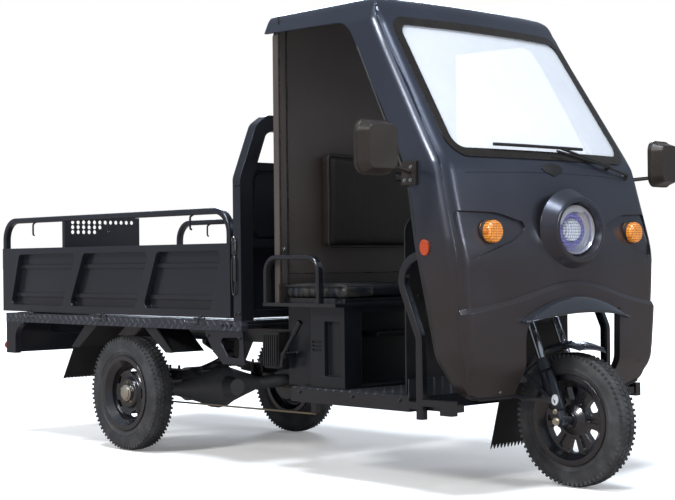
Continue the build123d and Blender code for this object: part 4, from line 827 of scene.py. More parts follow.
class Forms:
    """Small solid forms that are added to a bmesh."""

    @staticmethod
    def bevel(
        form: bmesh.types.BMesh, edges: Iterable[bmesh.types.BMEdge], width: float, segments: int
    ) -> None:
        """Rounds edges.

        Args:
            form: The bmesh that has them.
            edges: The edges.
            width: Width of the rounding, measured on the faces beside an edge.
            segments: Number of faces across it.
        """
        bmesh.ops.bevel(
            form,
            geom=list(edges),
            offset=width,
            offset_type="OFFSET",
            segments=segments,
            profile=0.5,
            affect="EDGES",
            material=-1,
            clamp_overlap=True,
        )

    @staticmethod
    def block(
        form: bmesh.types.BMesh, low: Sequence[float], high: Sequence[float], edge: float = 0.0
    ) -> None:
        """Adds a box between two corners.

        Args:
            form: The bmesh that takes it.
            low: Its lowest corner.
            high: Its highest corner.
            edge: Width of its bevelled edges, or nought for sharp ones.
        """
        size = [abs(b - a) for a, b in zip(low, high)]
        middle = Vector([(a + b) / 2 for a, b in zip(low, high)])
        made = bmesh.ops.create_cube(
            form, size=1.0, matrix=Matrix.Translation(middle) @ Matrix.Diagonal((*size, 1.0))
        )
        if edge:
            lines = dict.fromkeys(line for vert in made["verts"] for line in vert.link_edges)
            Forms.bevel(form, lines, width=edge, segments=2)

    @staticmethod
    def disc(
        form: bmesh.types.BMesh,
        centre: Vector,
        normal: Vector,
        radius: float,
        height: float,
        sides: int = 24,
        top_radius: float | None = None,
        oval: float = 1.0,
    ) -> None:
        """Adds a round or many-sided boss that stands on a surface.

        Args:
            form: The bmesh that takes it.
            centre: The middle of its foot.
            normal: The way it stands.
            radius: Radius of its foot.
            height: Its height.
            sides: Number of sides, six for a nut.
            top_radius: Radius of its top, or None for the same as its foot.
            oval: How much taller than wide it is, seen along its axis.
        """
        turn = Matrix.Translation(centre + normal.normalized() * height / 2) @ facing(normal)
        turn = turn @ Matrix.Diagonal((1.0, oval, 1.0, 1.0))
        bmesh.ops.create_cone(
            form,
            cap_ends=True,
            segments=sides,
            radius1=radius,
            radius2=radius if top_radius is None else top_radius,
            depth=height,
            matrix=turn,
        )

    @staticmethod
    def spun(
        form: bmesh.types.BMesh,
        outline: Sequence[tuple[float, float]],
        centre: Vector,
        axis: Vector,
        steps: int,
        closed: bool = False,
    ) -> None:
        """Adds a form turned from an outline.

        Args:
            form: The bmesh that takes it.
            outline: Points as radius and place along the axis.
            centre: Where the axis place is nought.
            axis: The axis it turns round.
            steps: Number of steps in a full turn.
            closed: Whether the last point joins the first.
        """
        turn = Matrix.Translation(centre) @ facing(axis)
        verts = [form.verts.new(turn @ Vector((radius, 0, along))) for radius, along in outline]
        edges = [form.edges.new(pair) for pair in zip(verts, verts[1:])]
        if closed:
            edges.append(form.edges.new((verts[-1], verts[0])))
        bmesh.ops.spin(
            form,
            geom=verts + edges,
            cent=centre,
            axis=axis,
            angle=tau,
            steps=steps,
            use_merge=True,
        )
        bmesh.ops.remove_doubles(form, verts=form.verts, dist=1e-6)

    @staticmethod
    def bolt(form: bmesh.types.BMesh, centre: Vector, normal: Vector, size: float) -> None:
        """Adds a washer and a hexagon head that stand on a surface.

        Args:
            form: The bmesh that takes them.
            centre: The middle of the washer's foot.
            normal: The way they stand.
            size: Width of the head across its corners.
        """
        Forms.disc(form, centre, normal, radius=size * 0.62, height=size * 0.12, sides=16)
        lifted = centre + normal.normalized() * size * 0.12
        Forms.disc(
            form, lifted, normal, radius=size * 0.5, height=size * 0.36, sides=6, top_radius=size * 0.46
        )


class Surface:
    """Finds the skin of a CAD node, so that trim can be laid on it."""

    def __init__(self, *nodes: str) -> None:
        """Reads the meshes of CAD nodes.

        Args:
            nodes: The names of the nodes.
        """
        points: list[Vector] = []
        faces: list[list[int]] = []
        for node in nodes:
            mesh = bpy.data.objects[node].data
            start = len(points)
            points += [vertex.co.copy() for vertex in mesh.vertices]
            faces += [[start + index for index in polygon.vertices] for polygon in mesh.polygons]
        self.tree = BVHTree.FromPolygons(points, faces)

    def hit(self, start: Sequence[float], way: Sequence[float]) -> tuple[Vector, Vector] | None:
        """Sends a ray at the skin.

        Args:
            start: Where the ray starts.
            way: Its direction.

        Returns:
            The first point that it meets and the skin's normal there, or None.
        """
        place, normal, _, _ = self.tree.ray_cast(Vector(start), Vector(way).normalized())
        return None if place is None else (place, normal.normalized())

    def from_front(self, y: float, z: float) -> tuple[Vector, Vector] | None:
        """What a ray from far ahead meets at a place across and a height, as for hit."""
        return self.hit((3.0, y, z), (-1, 0, 0))

    def from_side(self, x: float, z: float, side: float) -> tuple[Vector, Vector] | None:
        """What a ray from far to one side meets at a place along and a height, as for hit."""
        return self.hit((x, side * 1.5, z), (0, -side, 0))


# ------------------------------------------------------------------ studio
@dataclass
class Studio:
    """Floor, lights, surroundings and the camera."""

    camera_place: Point = (4.90635, -4.38418, 0.83991)
    camera_yaw: float = 0.824640
    camera_pitch: float = 0.0070631
    camera_roll: float = -0.0106172
    lens: float = 79.98
    sensor: float = 36.0
    floor_size: float = 400.0
    floor_colour: Colour = (0.86, 0.86, 0.87)
    world_colour: Colour = (0.92, 0.95, 1.0)
    world_strength: float = 0.30
    mirrored_colour: Colour = (0.78, 0.88, 1.0)
    mirrored_strength: float = 0.30
    mirrored_floor_colour: Colour = (0.20, 0.17, 0.15)
    floor_glow: float = 0.16
    white: Colour = (1.0, 1.0, 1.0)
    black: Colour = (0.0, 0.0, 0.0)

    def make_camera(self) -> None:
        """Places the camera and makes it the scene's own."""
        data = bpy.data.cameras.new("camera")
        data.lens = self.lens
        data.sensor_width = self.sensor
        data.sensor_fit = "HORIZONTAL"
        data.clip_end = 500.0
        view = bpy.data.objects.new("camera", data)
        ahead = Vector(
            (
                -sin(self.camera_yaw) * cos(self.camera_pitch),
                cos(self.camera_yaw) * cos(self.camera_pitch),
                sin(self.camera_pitch),
            )
        )
        right = Vector((cos(self.camera_yaw), sin(self.camera_yaw), 0.0))
        up = right.cross(ahead)
        rolled_right = right * cos(self.camera_roll) + up * sin(self.camera_roll)
        rolled_up = up * cos(self.camera_roll) - right * sin(self.camera_roll)
        turn = Matrix((rolled_right, rolled_up, -ahead)).transposed()
        view.matrix_world = Matrix.Translation(self.camera_place) @ turn.to_4x4()
        bpy.context.scene.collection.objects.link(view)
        bpy.context.scene.camera = view

    def make_floor(self) -> None:
        """Lays a pale floor that looks white to the camera and keeps the shadow."""
        form = bmesh.new()
        bmesh.ops.create_grid(form, x_segments=1, y_segments=1, size=self.floor_size / 2)
        mesh = bpy.data.meshes.new("floor")
        form.to_mesh(mesh)
        form.free()
        floor = bpy.data.objects.new("floor", mesh)
        bpy.context.scene.collection.objects.link(floor)
        graph = Surfacing("floor_paint")
        path = graph.node("ShaderNodeLightPath")
        seen = path.out("Is Camera Ray").highest(path.out("Is Transmission Ray"))
        lit = graph.blend(path.out("Is Glossy Ray"), self.floor_colour, self.mirrored_floor_colour)
        graph.set(
            Base_Color=graph.blend(seen, lit, self.white),
            Roughness=1.0,
            Specular_IOR_Level=0.0,
            Emission_Color=graph.blend(seen, self.black, (self.floor_glow,) * 3),
            Emission_Strength=1.0,
        )
        mesh.materials.append(graph.material)

    def make_world(self) -> None:
        """Surrounds the object with soft light that looks white where it is seen."""
        world = bpy.data.worlds.new("surroundings")
        world.use_nodes = True
        graph = Graph(world.node_tree)
        soft, mirrored, white = (
            graph.node("ShaderNodeBackground", {}, {"Color": colour, "Strength": strength}).out()
            for colour, strength in (
                (self.world_colour, self.world_strength),
                (self.mirrored_colour, self.mirrored_strength),
                (self.white, 1.0),
            )
        )
        path = graph.node("ShaderNodeLightPath")
        seen = path.out("Is Camera Ray").highest(path.out("Is Transmission Ray"))
        around = graph.mix(path.out("Is Glossy Ray"), soft, mirrored)
        graph.node("ShaderNodeOutputWorld", {}, {"Surface": graph.mix(seen, around, white)})
        bpy.context.scene.world = world

    def make_lights(self) -> None:
        """Hangs a soft key light, a fill and a top light."""
        self._sun("key", (0.05, -0.85, 0.60), 1.8, 13.0, (1.0, 0.99, 0.97))
        self._sun("fill", (0.95, 0.25, 0.35), 0.7, 16.0, (0.92, 0.95, 1.0))
        self._sun("top", (0.16, -0.22, 0.93), 2.6, 15.0, (0.84, 0.91, 1.0))
        self._sun("rim", (-0.60, 0.58, 0.40), 1.6, 20.0, (0.80, 0.89, 1.0))

    @staticmethod
    def _sun(name: str, towards: Point, strength: float, spread: float, colour: Colour) -> None:
        """Adds one broad distant light.

        Args:
            name: Its name.
            towards: The direction from the object to the light.
            strength: Its strength in watts per square metre.
            spread: Its apparent size in degrees.
            colour: Its colour.
        """
        data = bpy.data.lights.new(name, "SUN")
        data.energy = strength
        data.angle = radians(spread)
        data.color = colour
        lamp = bpy.data.objects.new(name, data)
        lamp.matrix_world = facing(Vector(towards))
        bpy.context.scene.collection.objects.link(lamp)


# ------------------------------------------------------------------ tyres and wheels
@dataclass
class Tyre:
    """A tyre with road tread: a carcass turned round its axle, and lugs that stand on it."""

    shop: Workshop
    node: str
    body: Body
    tread_depth: float = 0.0034
    shoulder_drop: float = 0.012
    bead_radius: float = 0.152
    flange_radius: float = 0.1675
    bead_inset: float = 0.008
    steps: int = 96
    lug_count: int = 72
    lug_taper: float = 0.84
    centre: Vector = field(init=False)
    radius: float = field(init=False)
    half_width: float = field(init=False)

    def __post_init__(self) -> None:
        """Reads the tyre's place and size from its node."""
        low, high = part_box(self.node)
        self.centre = (low + high) / 2
        self.radius = (high.z - low.z) / 2
        self.half_width = (high.y - low.y) / 2

    def _carcass_outline(self) -> list[tuple[float, float]]:
        """The carcass section, closed.

        Returns:
            Its points as radius and sideways place.
        """
        base = self.radius - self.tread_depth
        half = self.half_width
        side = [
            (base, 0.0), (base - 0.0005, half - 0.024), (base - 0.005, half - 0.010),
            (base - 0.016, half - 0.0045), (base - 0.026, half - 0.0022),
            (self.bead_radius + 0.056, half - 0.0008), (self.bead_radius + 0.048, half - 0.0004),
            (self.bead_radius + 0.040, half - 0.0012), (self.bead_radius + 0.038, half - 0.0004),
            (self.bead_radius + 0.034, half - 0.0004), (self.bead_radius + 0.032, half - 0.0030),
            (self.bead_radius + 0.024, half - 0.0050),
            (self.flange_radius + 0.004, half - self.bead_inset + 0.0016),
            (self.flange_radius, half - self.bead_inset - 0.0012),
            (self.bead_radius, half - self.bead_inset),
        ]
        mirrored = [(radius, -along) for radius, along in reversed(side[1:])]
        return side + mirrored

    def _lug(
        self, form: bmesh.types.BMesh, turn: float, along: float, size: Point, lean: float, tilt: float
    ) -> None:
        """Adds one lug.

        Args:
            form: The bmesh that takes it.
            turn: Its angle round the axle.
            along: Its place sideways from the middle of the tread.
            size: Its size round the tyre, sideways and outwards.
            lean: Its turn about its own outward axis.
            tilt: How far it tips over the shoulder.
        """
        drop = size[2] / 2 + 0.0004
        if tilt:
            drop += self.shoulder_drop * 0.42
        spin = Matrix.Rotation(turn, 4, "Y")
        stand = Matrix.Translation((0, along, self.radius - drop))
        pose = Matrix.Rotation(tilt, 4, "X") @ Matrix.Rotation(lean, 4, "Z")
        scale = Matrix.Diagonal((*size, 1.0))
        made = bmesh.ops.create_cube(
            form, size=1.0, matrix=Matrix.Translation(self.centre) @ spin @ stand @ pose @ scale
        )
        outward = (spin @ pose @ Vector((0, 0, 1))).normalized()
        top = sorted(made["verts"], key=lambda vert: vert.co.dot(outward))[4:]
        middle = sum((vert.co for vert in top), Vector()) / 4
        for vert in top:
            vert.co = middle + (vert.co - middle) * self.lug_taper

    def make(self) -> None:
        """Builds the tyre and puts it in the place of its node."""
        form = bmesh.new()
        Forms.spun(
            form, self._carcass_outline(), self.centre, Vector((0, 1, 0)), steps=self.steps, closed=True
        )
        step = tau / self.lug_count
        rows = (
            (0.0, 0.0095, (0.0165, 0.0155, 0.0080), 0.32, 0.0),
            (0.5, self.half_width - 0.0185, (0.0172, 0.017, 0.0100), -0.22, -0.42),
            (0.5, self.half_width - 0.0052, (0.0115, 0.0040, 0.0150), 0.0, -0.16),
        )
        for place in range(self.lug_count):
            for side in (-1.0, 1.0):
                start = place * step + (0.25 if side > 0 else 0.75) * step
                for shift, along, size, lean, tilt in rows:
                    turn = start + shift * step
                    self._lug(form, turn, side * along, size, side * lean, side * tilt)
        made = self.shop.piece(self.node + "_tread", form, "tyre", self.body, smooth=radians(28))
        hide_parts(self.node)


@dataclass
class WheelFittings:
    """Nuts, caps and a valve on one wheel."""

    shop: Workshop
    node: str
    body: Body
    outward: float
    nut_circle: float = 0.046
    nut_count: int = 5
    nut_depth: float = 0.030
    cap_depth: float = 0.016
    cap_radius: float = 0.036
    valve_circle: float = 0.140
    centre: Vector = field(init=False)
    face: float = field(init=False)

    def __post_init__(self) -> None:
        """Reads the wheel's place from its node."""
        low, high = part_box(self.node)
        self.centre = (low + high) / 2
        self.face = high.y if self.outward > 0 else low.y

    def make_valve(self) -> None:
        """Adds the valve stem, which leans out of the rim well."""
        form = bmesh.new()
        out = Vector((0, self.outward, 0))
        radial = Vector((sin(0.5), 0, -cos(0.5)))
        foot = self.centre + radial * self.valve_circle
        foot.y = self.centre.y + self.outward * 0.022
        way = (out * 0.9 - radial * 0.35).normalized()
        Forms.disc(form, foot, way, radius=0.0055, height=0.018, sides=12, top_radius=0.0045)
        Forms.disc(
            form, foot + way * 0.018, way, radius=0.0034, height=0.010, sides=10, top_radius=0.003
        )
        self.shop.piece(self.node + "_valve", form, "rubber", self.body)

    def make_nuts(self) -> None:
        """Adds the nuts of the wheel on their circle."""
        form = bmesh.new()
        out = Vector((0, self.outward, 0))
        for place in range(self.nut_count):
            turn = tau * (place + 0.25) / self.nut_count
            foot = self.centre + Vector((cos(turn), 0, sin(turn))) * self.nut_circle
            foot.y = self.face - self.outward * self.nut_depth
            Forms.disc(form, foot, out, radius=0.0095, height=0.0020, sides=20)
            Forms.disc(form, foot, out, radius=0.0082, height=0.0095, sides=6, top_radius=0.0074)
            Forms.disc(form, foot, out, radius=0.0038, height=0.0150, sides=12, top_radius=0.0032)
        self.shop.piece(self.node + "_nuts", form, "bronze", self.body)

    def make_cap(self) -> None:
        """Adds the hub cap, a shallow dome with a rim."""
        form = bmesh.new()
        foot = self.centre.copy()
        foot.y = self.face - self.outward * self.cap_depth
        radius = self.cap_radius
        outline = [
            (radius, 0.0), (radius, 0.003), (radius * 0.86, 0.0045), (radius * 0.82, 0.010),
            (radius * 0.55, 0.0135), (radius * 0.2, 0.0150), (0.0, 0.0150),
        ]
        Forms.spun(form, outline, foot, Vector((0, self.outward, 0)), steps=32)
        self.shop.piece(self.node + "_cap", form, "cream", self.body)


# ------------------------------------------------------------------ the cab's skin
@dataclass
class CabSkin:
    """The cab's shell with its front corners rounded from the face into the sides."""

    shop: Workshop
    node: str = "cab_shell"
    rounding: float = 0.062
    bow_radius: float = 3.6
    crease: float = radians(2)
    fade_low: tuple[float, float] = (0.33, 0.50)
    fade_high: tuple[float, float] = (1.70, 1.84)
    cuts: int = 9
    side_cuts: tuple[float, float] = (0.470, 0.588)
    face_bands: tuple[tuple[float, float], ...] = ((0.55, 0.75), (0.91, 1.15), (1.23, 1.78))
    first_cut: float = 0.046
    corner_from: float = 0.40
    large_face: float = 0.002
    face_line: tuple[tuple[float, float], ...] = (
        (0.30, -0.040), (0.36, -0.036), (0.40, -0.026), (0.44, -0.012), (0.50, -0.004),
        (0.80, 0.001), (0.86, -0.004), (0.91, -0.010), (1.15, -0.074), (1.19, -0.086),
        (1.23, -0.110), (1.78, -0.463), (1.84, -0.510),
    )
    side_line: tuple[tuple[float, float], ...] = (
        (0.34, 0.440), (0.36, 0.494), (0.42, 0.535), (0.50, 0.562), (0.60, 0.573), (0.75, 0.5835),
        (0.90, 0.5865), (1.10, 0.5805), (1.24, 0.5745), (1.70, 0.5385), (1.76, 0.528),
        (1.84, 0.480),
    )

    @staticmethod
    def _along(line: Sequence[tuple[float, float]], height: float) -> float:
        """The value of a line at a height, held at its ends.

        Args:
            line: Heights and values, from the lowest height upwards.
            height: The height.

        Returns:
            The value.
        """
        if height <= line[0][0]:
            return line[0][1]
        for (low, first), (high, second) in zip(line, line[1:]):
            if height <= high:
                return first + (second - first) * (height - low) / (high - low)
        return line[-1][1]

    @staticmethod
    def _ease(value: float, low: float, high: float) -> float:
        """Nought below one level, one above another, smooth in between.

        Args:
            value: The value that is compared.
            low: The level where the result is nought.
            high: The level where the result is one.

        Returns:
            The eased value.
        """
        share = min(max((value - low) / (high - low), 0.0), 1.0)
        return share * share * (3.0 - 2.0 * share)

    def _rounded(self, place: Vector, axle_x: float) -> Vector:
        """Where a point of the square-cornered shell lies once its corner is round.

        Args:
            place: The point.
            axle_x: Place of the front axle.

        Returns:
            The moved point.
        """
        height = place.z
        radius = self.rounding * self._ease(height, *self.fade_low)
        radius *= 1.0 - self._ease(height, *self.fade_high)
        if radius < 0.002:
            return place
        side = abs(place.y)
        edge = self._along(self.side_line, height)
        bow = (edge - radius / 2) ** 2 / (2 * self.bow_radius)
        face = axle_x + self._along(self.face_line, height) - bow
        ahead = place.x - (face - radius)
        out = side - (edge - radius)
        if ahead <= 0.0 or out <= 0.0:
            return place
        share = max(ahead, out) / sqrt(ahead * ahead + out * out)
        sign = 1.0 if place.y > 0 else -1.0
        return Vector((face - radius + ahead * share, sign * (edge - radius + out * share), height))

    def _cut(self, form: bmesh.types.BMesh, place: Vector, normal: Vector) -> None:
        """Cuts the corner faces along a plane, so that they can bend there.

        Args:
            form: The shell.
            place: A point of the plane.
            normal: The plane's normal.
        """
        near = [
            face
            for face in form.faces
            if abs(face.calc_center_median().y) > self.corner_from
            or face.calc_area() > self.large_face
        ]
        edges = {edge for face in near for edge in face.edges}
        verts = {vert for face in near for vert in face.verts}
        bmesh.ops.bisect_plane(
            form, geom=[*verts, *edges, *near], dist=1e-6, plane_co=place, plane_no=normal
        )

    def _bent(self, place: Vector, normal: Vector, axle_x: float) -> Vector:
        """The direction that a point's normal takes once its corner is round.

        Args:
            place: The point on the square-cornered shell.
            normal: The shell's normal there.
            axle_x: Place of the front axle.

        Returns:
            The bent normal.
        """
        moved = self._rounded(place, axle_x)
        step = 1e-4
        columns = [
            (self._rounded(place + Vector(way) * step, axle_x) - moved) / step
            for way in ((1, 0, 0), (0, 1, 0), (0, 0, 1))
        ]
        warp = Matrix(columns)
        if abs(warp.determinant()) < 1e-6:
            return normal
        return (warp.inverted() @ normal).normalized()

    def _bent_normals(self, form: bmesh.types.BMesh, axle_x: float) -> list[Vector]:
        """Carries the node's own corner normals over to the cut and rounded faces.

        Args:
            form: The cut shell before it is rounded, in triangles. Its edges are marked sharp
                where the node's normals part.
            axle_x: Place of the front axle.

        Returns:
            A normal for each corner of each face, in the order of the faces.
        """
        source = bpy.data.objects[self.node].data
        points = [vertex.co.copy() for vertex in source.vertices]
        polygons = [list(polygon.vertices) for polygon in source.polygons]
        corners = [list(polygon.loop_indices) for polygon in source.polygons]
        tree = BVHTree.FromPolygons(points, polygons)
        found: list[Vector] = []
        by_edge: dict[tuple[int, int], list[Vector]] = {}
        form.verts.index_update()
        for face in form.faces:
            index = tree.find_nearest(face.calc_center_median())[2]
            triangle = [points[vertex] for vertex in polygons[index][:3]]
            given = [source.corner_normals[corner].vector for corner in corners[index][:3]]
            for loop in face.loops:
                place = loop.vert.co
                blended = barycentric_transform(place, *triangle, *given).normalized()
                found.append(self._bent(place, blended, axle_x))
                for edge in (loop.edge, loop.link_loop_prev.edge):
                    by_edge.setdefault((edge.index, loop.vert.index), []).append(found[-1])
        form.edges.ensure_lookup_table()
        for (edge_index, _), pair in by_edge.items():
            if len(pair) == 2 and pair[0].dot(pair[1]) < cos(self.crease):
                form.edges[edge_index].smooth = False
        return found

    def make(self) -> None:
        """Builds the skin in the place of its node."""
        low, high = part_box("front_wheel")
        axle_x = (low.x + high.x) / 2
        form = bmesh.new()
        form.from_mesh(bpy.data.objects[self.node].data)
        bmesh.ops.remove_doubles(form, verts=form.verts, dist=1e-5)
        inner, outer = self.side_cuts
        for step in range(self.cuts + 1):
            side = inner + (outer - inner) * step / self.cuts
            for sign in (-1.0, 1.0):
                self._cut(form, Vector((0, sign * side, 0)), Vector((0, 1, 0)))
        for low_z, high_z in self.face_bands:
            low_x = axle_x + self._along(self.face_line, low_z)
            high_x = axle_x + self._along(self.face_line, high_z)
            way = Vector((high_x - low_x, 0, high_z - low_z))
            normal = Vector((way.z, 0, -way.x)).normalized()
            for step in range(self.cuts):
                behind = self.first_cut + self.rounding * step / (self.cuts - 1)
                self._cut(form, Vector((low_x - behind, 0, low_z)), normal)
        bmesh.ops.triangulate(form, faces=form.faces)
        normals = self._bent_normals(form, axle_x)
        for vert in form.verts:
            vert.co = self._rounded(vert.co, axle_x)
        made = self.shop.piece("cab_skin", form, "shell", smooth=radians(180))
        made.data.normals_split_custom_set(normals)
        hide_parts(self.node)


# ------------------------------------------------------------------ the mask and its lamps
@dataclass
class Mask:
    """Headlight, visor, badge, screws, signal bezels and edge trim of the cab's front."""

    shop: Workshop
    oval_half_width: float = 0.112
    oval_half_height: float = 0.092
    lamp_z: float = 0.944
    signal_y: float = 0.411
    signal_z: float = 0.937
    signal_radius: float = 0.040
    trim_radius: float = 0.0055
    visor_inset: float = 0.037
    visor_rise: float = 0.088
    visor_lip_rise: float = 0.026
    visor_bow: float = 7.2
    visor_reach: float = 0.046
    visor_swell: float = 0.008
    visor_wall: float = 0.0055
    badge_y: float = -0.020
    badge_z: float = 1.172
    badge_radius: float = 0.062
    badge_squash: float = 0.34
    badge_point: float = 0.010
    badge_depth: float = 0.005
    crease_half: float = 0.470
    crease_z: float = 1.156
    crease_radius: float = 0.0014
    foot_z: float = 0.340
    lamp_x: float = field(init=False)

    def __post_init__(self) -> None:
        """Reads the headlight's place from its node."""
        self.lamp_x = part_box("headlight")[1].x

    def _oval_spun(
        self, form: bmesh.types.BMesh, outline: Sequence[tuple[float, float]], steps: int = 72
    ) -> None:
        """Turns an outline round the headlight's axis and stretches it to the lamp's oval.

        Args:
            form: The bmesh that takes it.
            outline: Points as a share of the oval's size, and place forwards in metres.
            steps: Number of steps in the full turn.
        """
        centre = Vector((self.lamp_x, 0, self.lamp_z))
        before = set(form.verts)
        Forms.spun(form, outline, centre, Vector((1, 0, 0)), steps=steps)
        added = [vert for vert in form.verts if vert not in before]
        scale = Matrix.Diagonal((1.0, self.oval_half_width, self.oval_half_height, 1.0))
        space = Matrix.Translation(-centre)
        bmesh.ops.transform(form, matrix=scale, space=space, verts=added)

    def make_headlight(self) -> None:
        """Builds the headlight: faceted dish, rim, blue ring, inner lens, brow and pane."""
        dish = bmesh.new()
        self._oval_spun(
            dish,
            [
                (0.20, -0.054), (0.50, -0.052), (0.66, -0.046), (0.80, -0.034), (0.90, -0.022),
                (0.90, -0.050),
            ],
            steps=30,
        )
        made = self.shop.piece("headlight_dish", dish, "silvered", smooth=radians(5))
        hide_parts("headlight")
        rim = bmesh.new()
        self._oval_spun(
            rim,
            [
                (0.880, -0.024), (0.885, -0.016), (0.905, -0.0120), (0.930, -0.0135),
                (0.945, -0.0170), (0.955, -0.0120), (0.975, -0.0095), (0.990, -0.0120),
                (0.995, -0.0225), (0.995, -0.050),
            ],
        )
        self.shop.piece("headlight_rim", rim, "silvered")
        ring = bmesh.new()
        self._oval_spun(
            ring,
            [
                (0.47, -0.046), (0.48, -0.034), (0.54, -0.029), (0.66, -0.029), (0.70, -0.034),
                (0.71, -0.046),
            ],
        )
        self.shop.piece("headlight_blue_ring", ring, "blue_lens")
        lens = bmesh.new()
        self._oval_spun(
            lens, [(0.47, -0.046), (0.46, -0.030), (0.40, -0.022), (0.24, -0.016), (0.0, -0.014)]
        )
        self.shop.piece("headlight_lens", lens, "clear_lens")
        brow = bmesh.new()
        self._oval_spun(brow, [(0.895, -0.030), (0.895, -0.013), (0.72, -0.013), (0.72, -0.030)])
        cut = Vector((0, -0.34, 0.94)).normalized()
        foot = Vector((self.lamp_x, 0, self.lamp_z)) + cut * self.oval_half_height * 0.50
        bmesh.ops.bisect_plane(
            brow,
            geom=[*brow.verts, *brow.edges, *brow.faces],
            dist=1e-6,
            plane_co=foot,
            plane_no=cut,
            clear_inner=True,
        )
        bmesh.ops.holes_fill(brow, edges=[edge for edge in brow.edges if edge.is_boundary], sides=0)
        self.shop.piece("headlight_brow", brow, "silvered")
        pane = bmesh.new()
        self._oval_spun(pane, [(0.985, -0.0110), (0.90, -0.0050), (0.60, 0.0), (0.25, 0.0), (0.0, 0.0)])
        self.shop.piece("headlight_pane", pane, "pane")

    def make_visor(self) -> None:
        """Builds the beak over the wheel arch as one smooth curved sheet."""
        low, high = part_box("nose_visor")
        half = high.y
        foot = low.z
        back = high.x - self.visor_inset
        form = bmesh.new()
        bmesh.ops.create_grid(form, x_segments=36, y_segments=8, size=1.0)
        for vert in form.verts:
            across = vert.co.x
            ahead = (vert.co.y + 1.0) / 2
            rise = 1.0 - across * across
            back_z = foot + self.visor_rise * rise
            lip_z = foot + self.visor_lip_rise * rise
            back_x = back - (half * across) ** 2 / self.visor_bow
            lip_x = back_x + self.visor_reach * (1.0 - 0.35 * abs(across) ** 8)
            swell = self.visor_swell * sin(pi * ahead) * (1.0 - abs(across) ** 3)
            vert.co = Vector(
                (
                    back_x + (lip_x - back_x) * ahead + swell * 0.4,
                    half * across,
                    back_z + (lip_z - back_z) * ahead ** 1.2 + swell,
                )
            )
        made = self.shop.piece("visor_skin", form, "shell_gloss", smooth=radians(80))
        wall = made.modifiers.new("wall", "SOLIDIFY")
        wall.thickness = self.visor_wall
        wall.offset = -1.0 if made.data.polygons[0].normal.z > 0 else 1.0
        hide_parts("nose_visor")

    def make_badge(self) -> None:
        """Adds the bare crest-shaped plate and the crease under the windshield."""
        skin = Surface("cab_shell")
        found = skin.from_front(self.badge_y, self.badge_z)
        if found is not None:
            form = bmesh.new()
            bmesh.ops.create_circle(form, cap_ends=True, segments=8, radius=self.badge_radius)
            squash = Matrix.Diagonal((1.0, self.badge_squash, 1.0, 1.0))
            bmesh.ops.transform(form, matrix=squash, verts=form.verts)
            lowest = min(form.verts, key=lambda vert: vert.co.y)
            lowest.co.y -= self.badge_point
            grown = bmesh.ops.extrude_face_region(form, geom=list(form.faces))
            lifted = [part for part in grown["geom"] if isinstance(part, bmesh.types.BMVert)]
            bmesh.ops.translate(form, vec=(0, 0, self.badge_depth), verts=lifted)
            Forms.bevel(form, form.edges, width=0.0012, segments=2)
            place = Matrix.Translation(found[0] - found[1] * 0.002) @ facing(found[1])
            bmesh.ops.transform(form, matrix=place, verts=form.verts)
            self.shop.piece("badge_plate", form, "black_plastic")
        route = []
        steps = 24
        for step in range(steps + 1):
            y = self.crease_half * (2.0 * step / steps - 1.0)
            found = skin.from_front(y, self.crease_z - 0.010 * (y / self.crease_half) ** 2)
            if found is not None:
                route.append(found[0] + found[1] * 0.0002)
        self.shop.rods("mask_crease", [route], self.crease_radius, "shell")

    def make_bracket_screws(self) -> None:
        """Adds the two screws of each mirror's bracket and the screws of the mask's foot."""
        form = bmesh.new()
        pads = Surface("mirrors")
        shell = Surface("cab_shell")
        for side in (-1.0, 1.0):
            for x, z in ((1.190, 1.168), (1.190, 1.122), (1.160, 1.122)):
                found = pads.from_side(x, z, side)
                if found is not None and abs(found[0].y) < 0.62:
                    Forms.bolt(form, found[0], found[1], size=0.012)
            found = shell.from_front(side * 0.350, 0.366)
            if found is not None:
                Forms.disc(
                    form, found[0], found[1], radius=0.0060, height=0.0024, sides=16, top_radius=0.0045
                )
        self.shop.piece("mask_screws", form, "steel")

    def make_foot_trim(self) -> None:
        """Lays a round rubber edge under each half of the mask's foot."""
        skin = Surface("cab_shell")
        for side, word in SIDES:
            route = []
            for step in range(15):
                y = 0.277 + 0.243 * step / 14
                z = self.foot_z + 0.006 + max(0.0, y - 0.43) * 0.30
                found = skin.from_front(side * y, z)
                if found is not None:
                    route.append(found[0] - Vector((0.002, 0, 0.004)))
            if len(route) > 3:
                self.shop.rods(f"foot_trim_{word}", [route], self.trim_radius, "rubber")

    def make_signal_bezels(self) -> None:
        """Adds a thin dark bezel round each front signal."""
        skin = Surface("cab_shell")
        form = bmesh.new()
        for side in (-1.0, 1.0):
            found = skin.from_front(side * (self.signal_y - 0.046), self.signal_z)
            if found is None:
                continue
            centre = Vector((found[0].x, side * self.signal_y, self.signal_z))
            outline = [
                (self.signal_radius + 0.0004, -0.004),
                (self.signal_radius + 0.0004, 0.006),
                (self.signal_radius + 0.0025, 0.0068),
                (self.signal_radius + 0.0050, 0.004),
                (self.signal_radius + 0.0055, -0.004),
            ]
            Forms.spun(form, outline, centre, Vector((1, side * 0.08, 0)), steps=40)
        self.shop.piece("signal_bezels", form, "black_plastic")

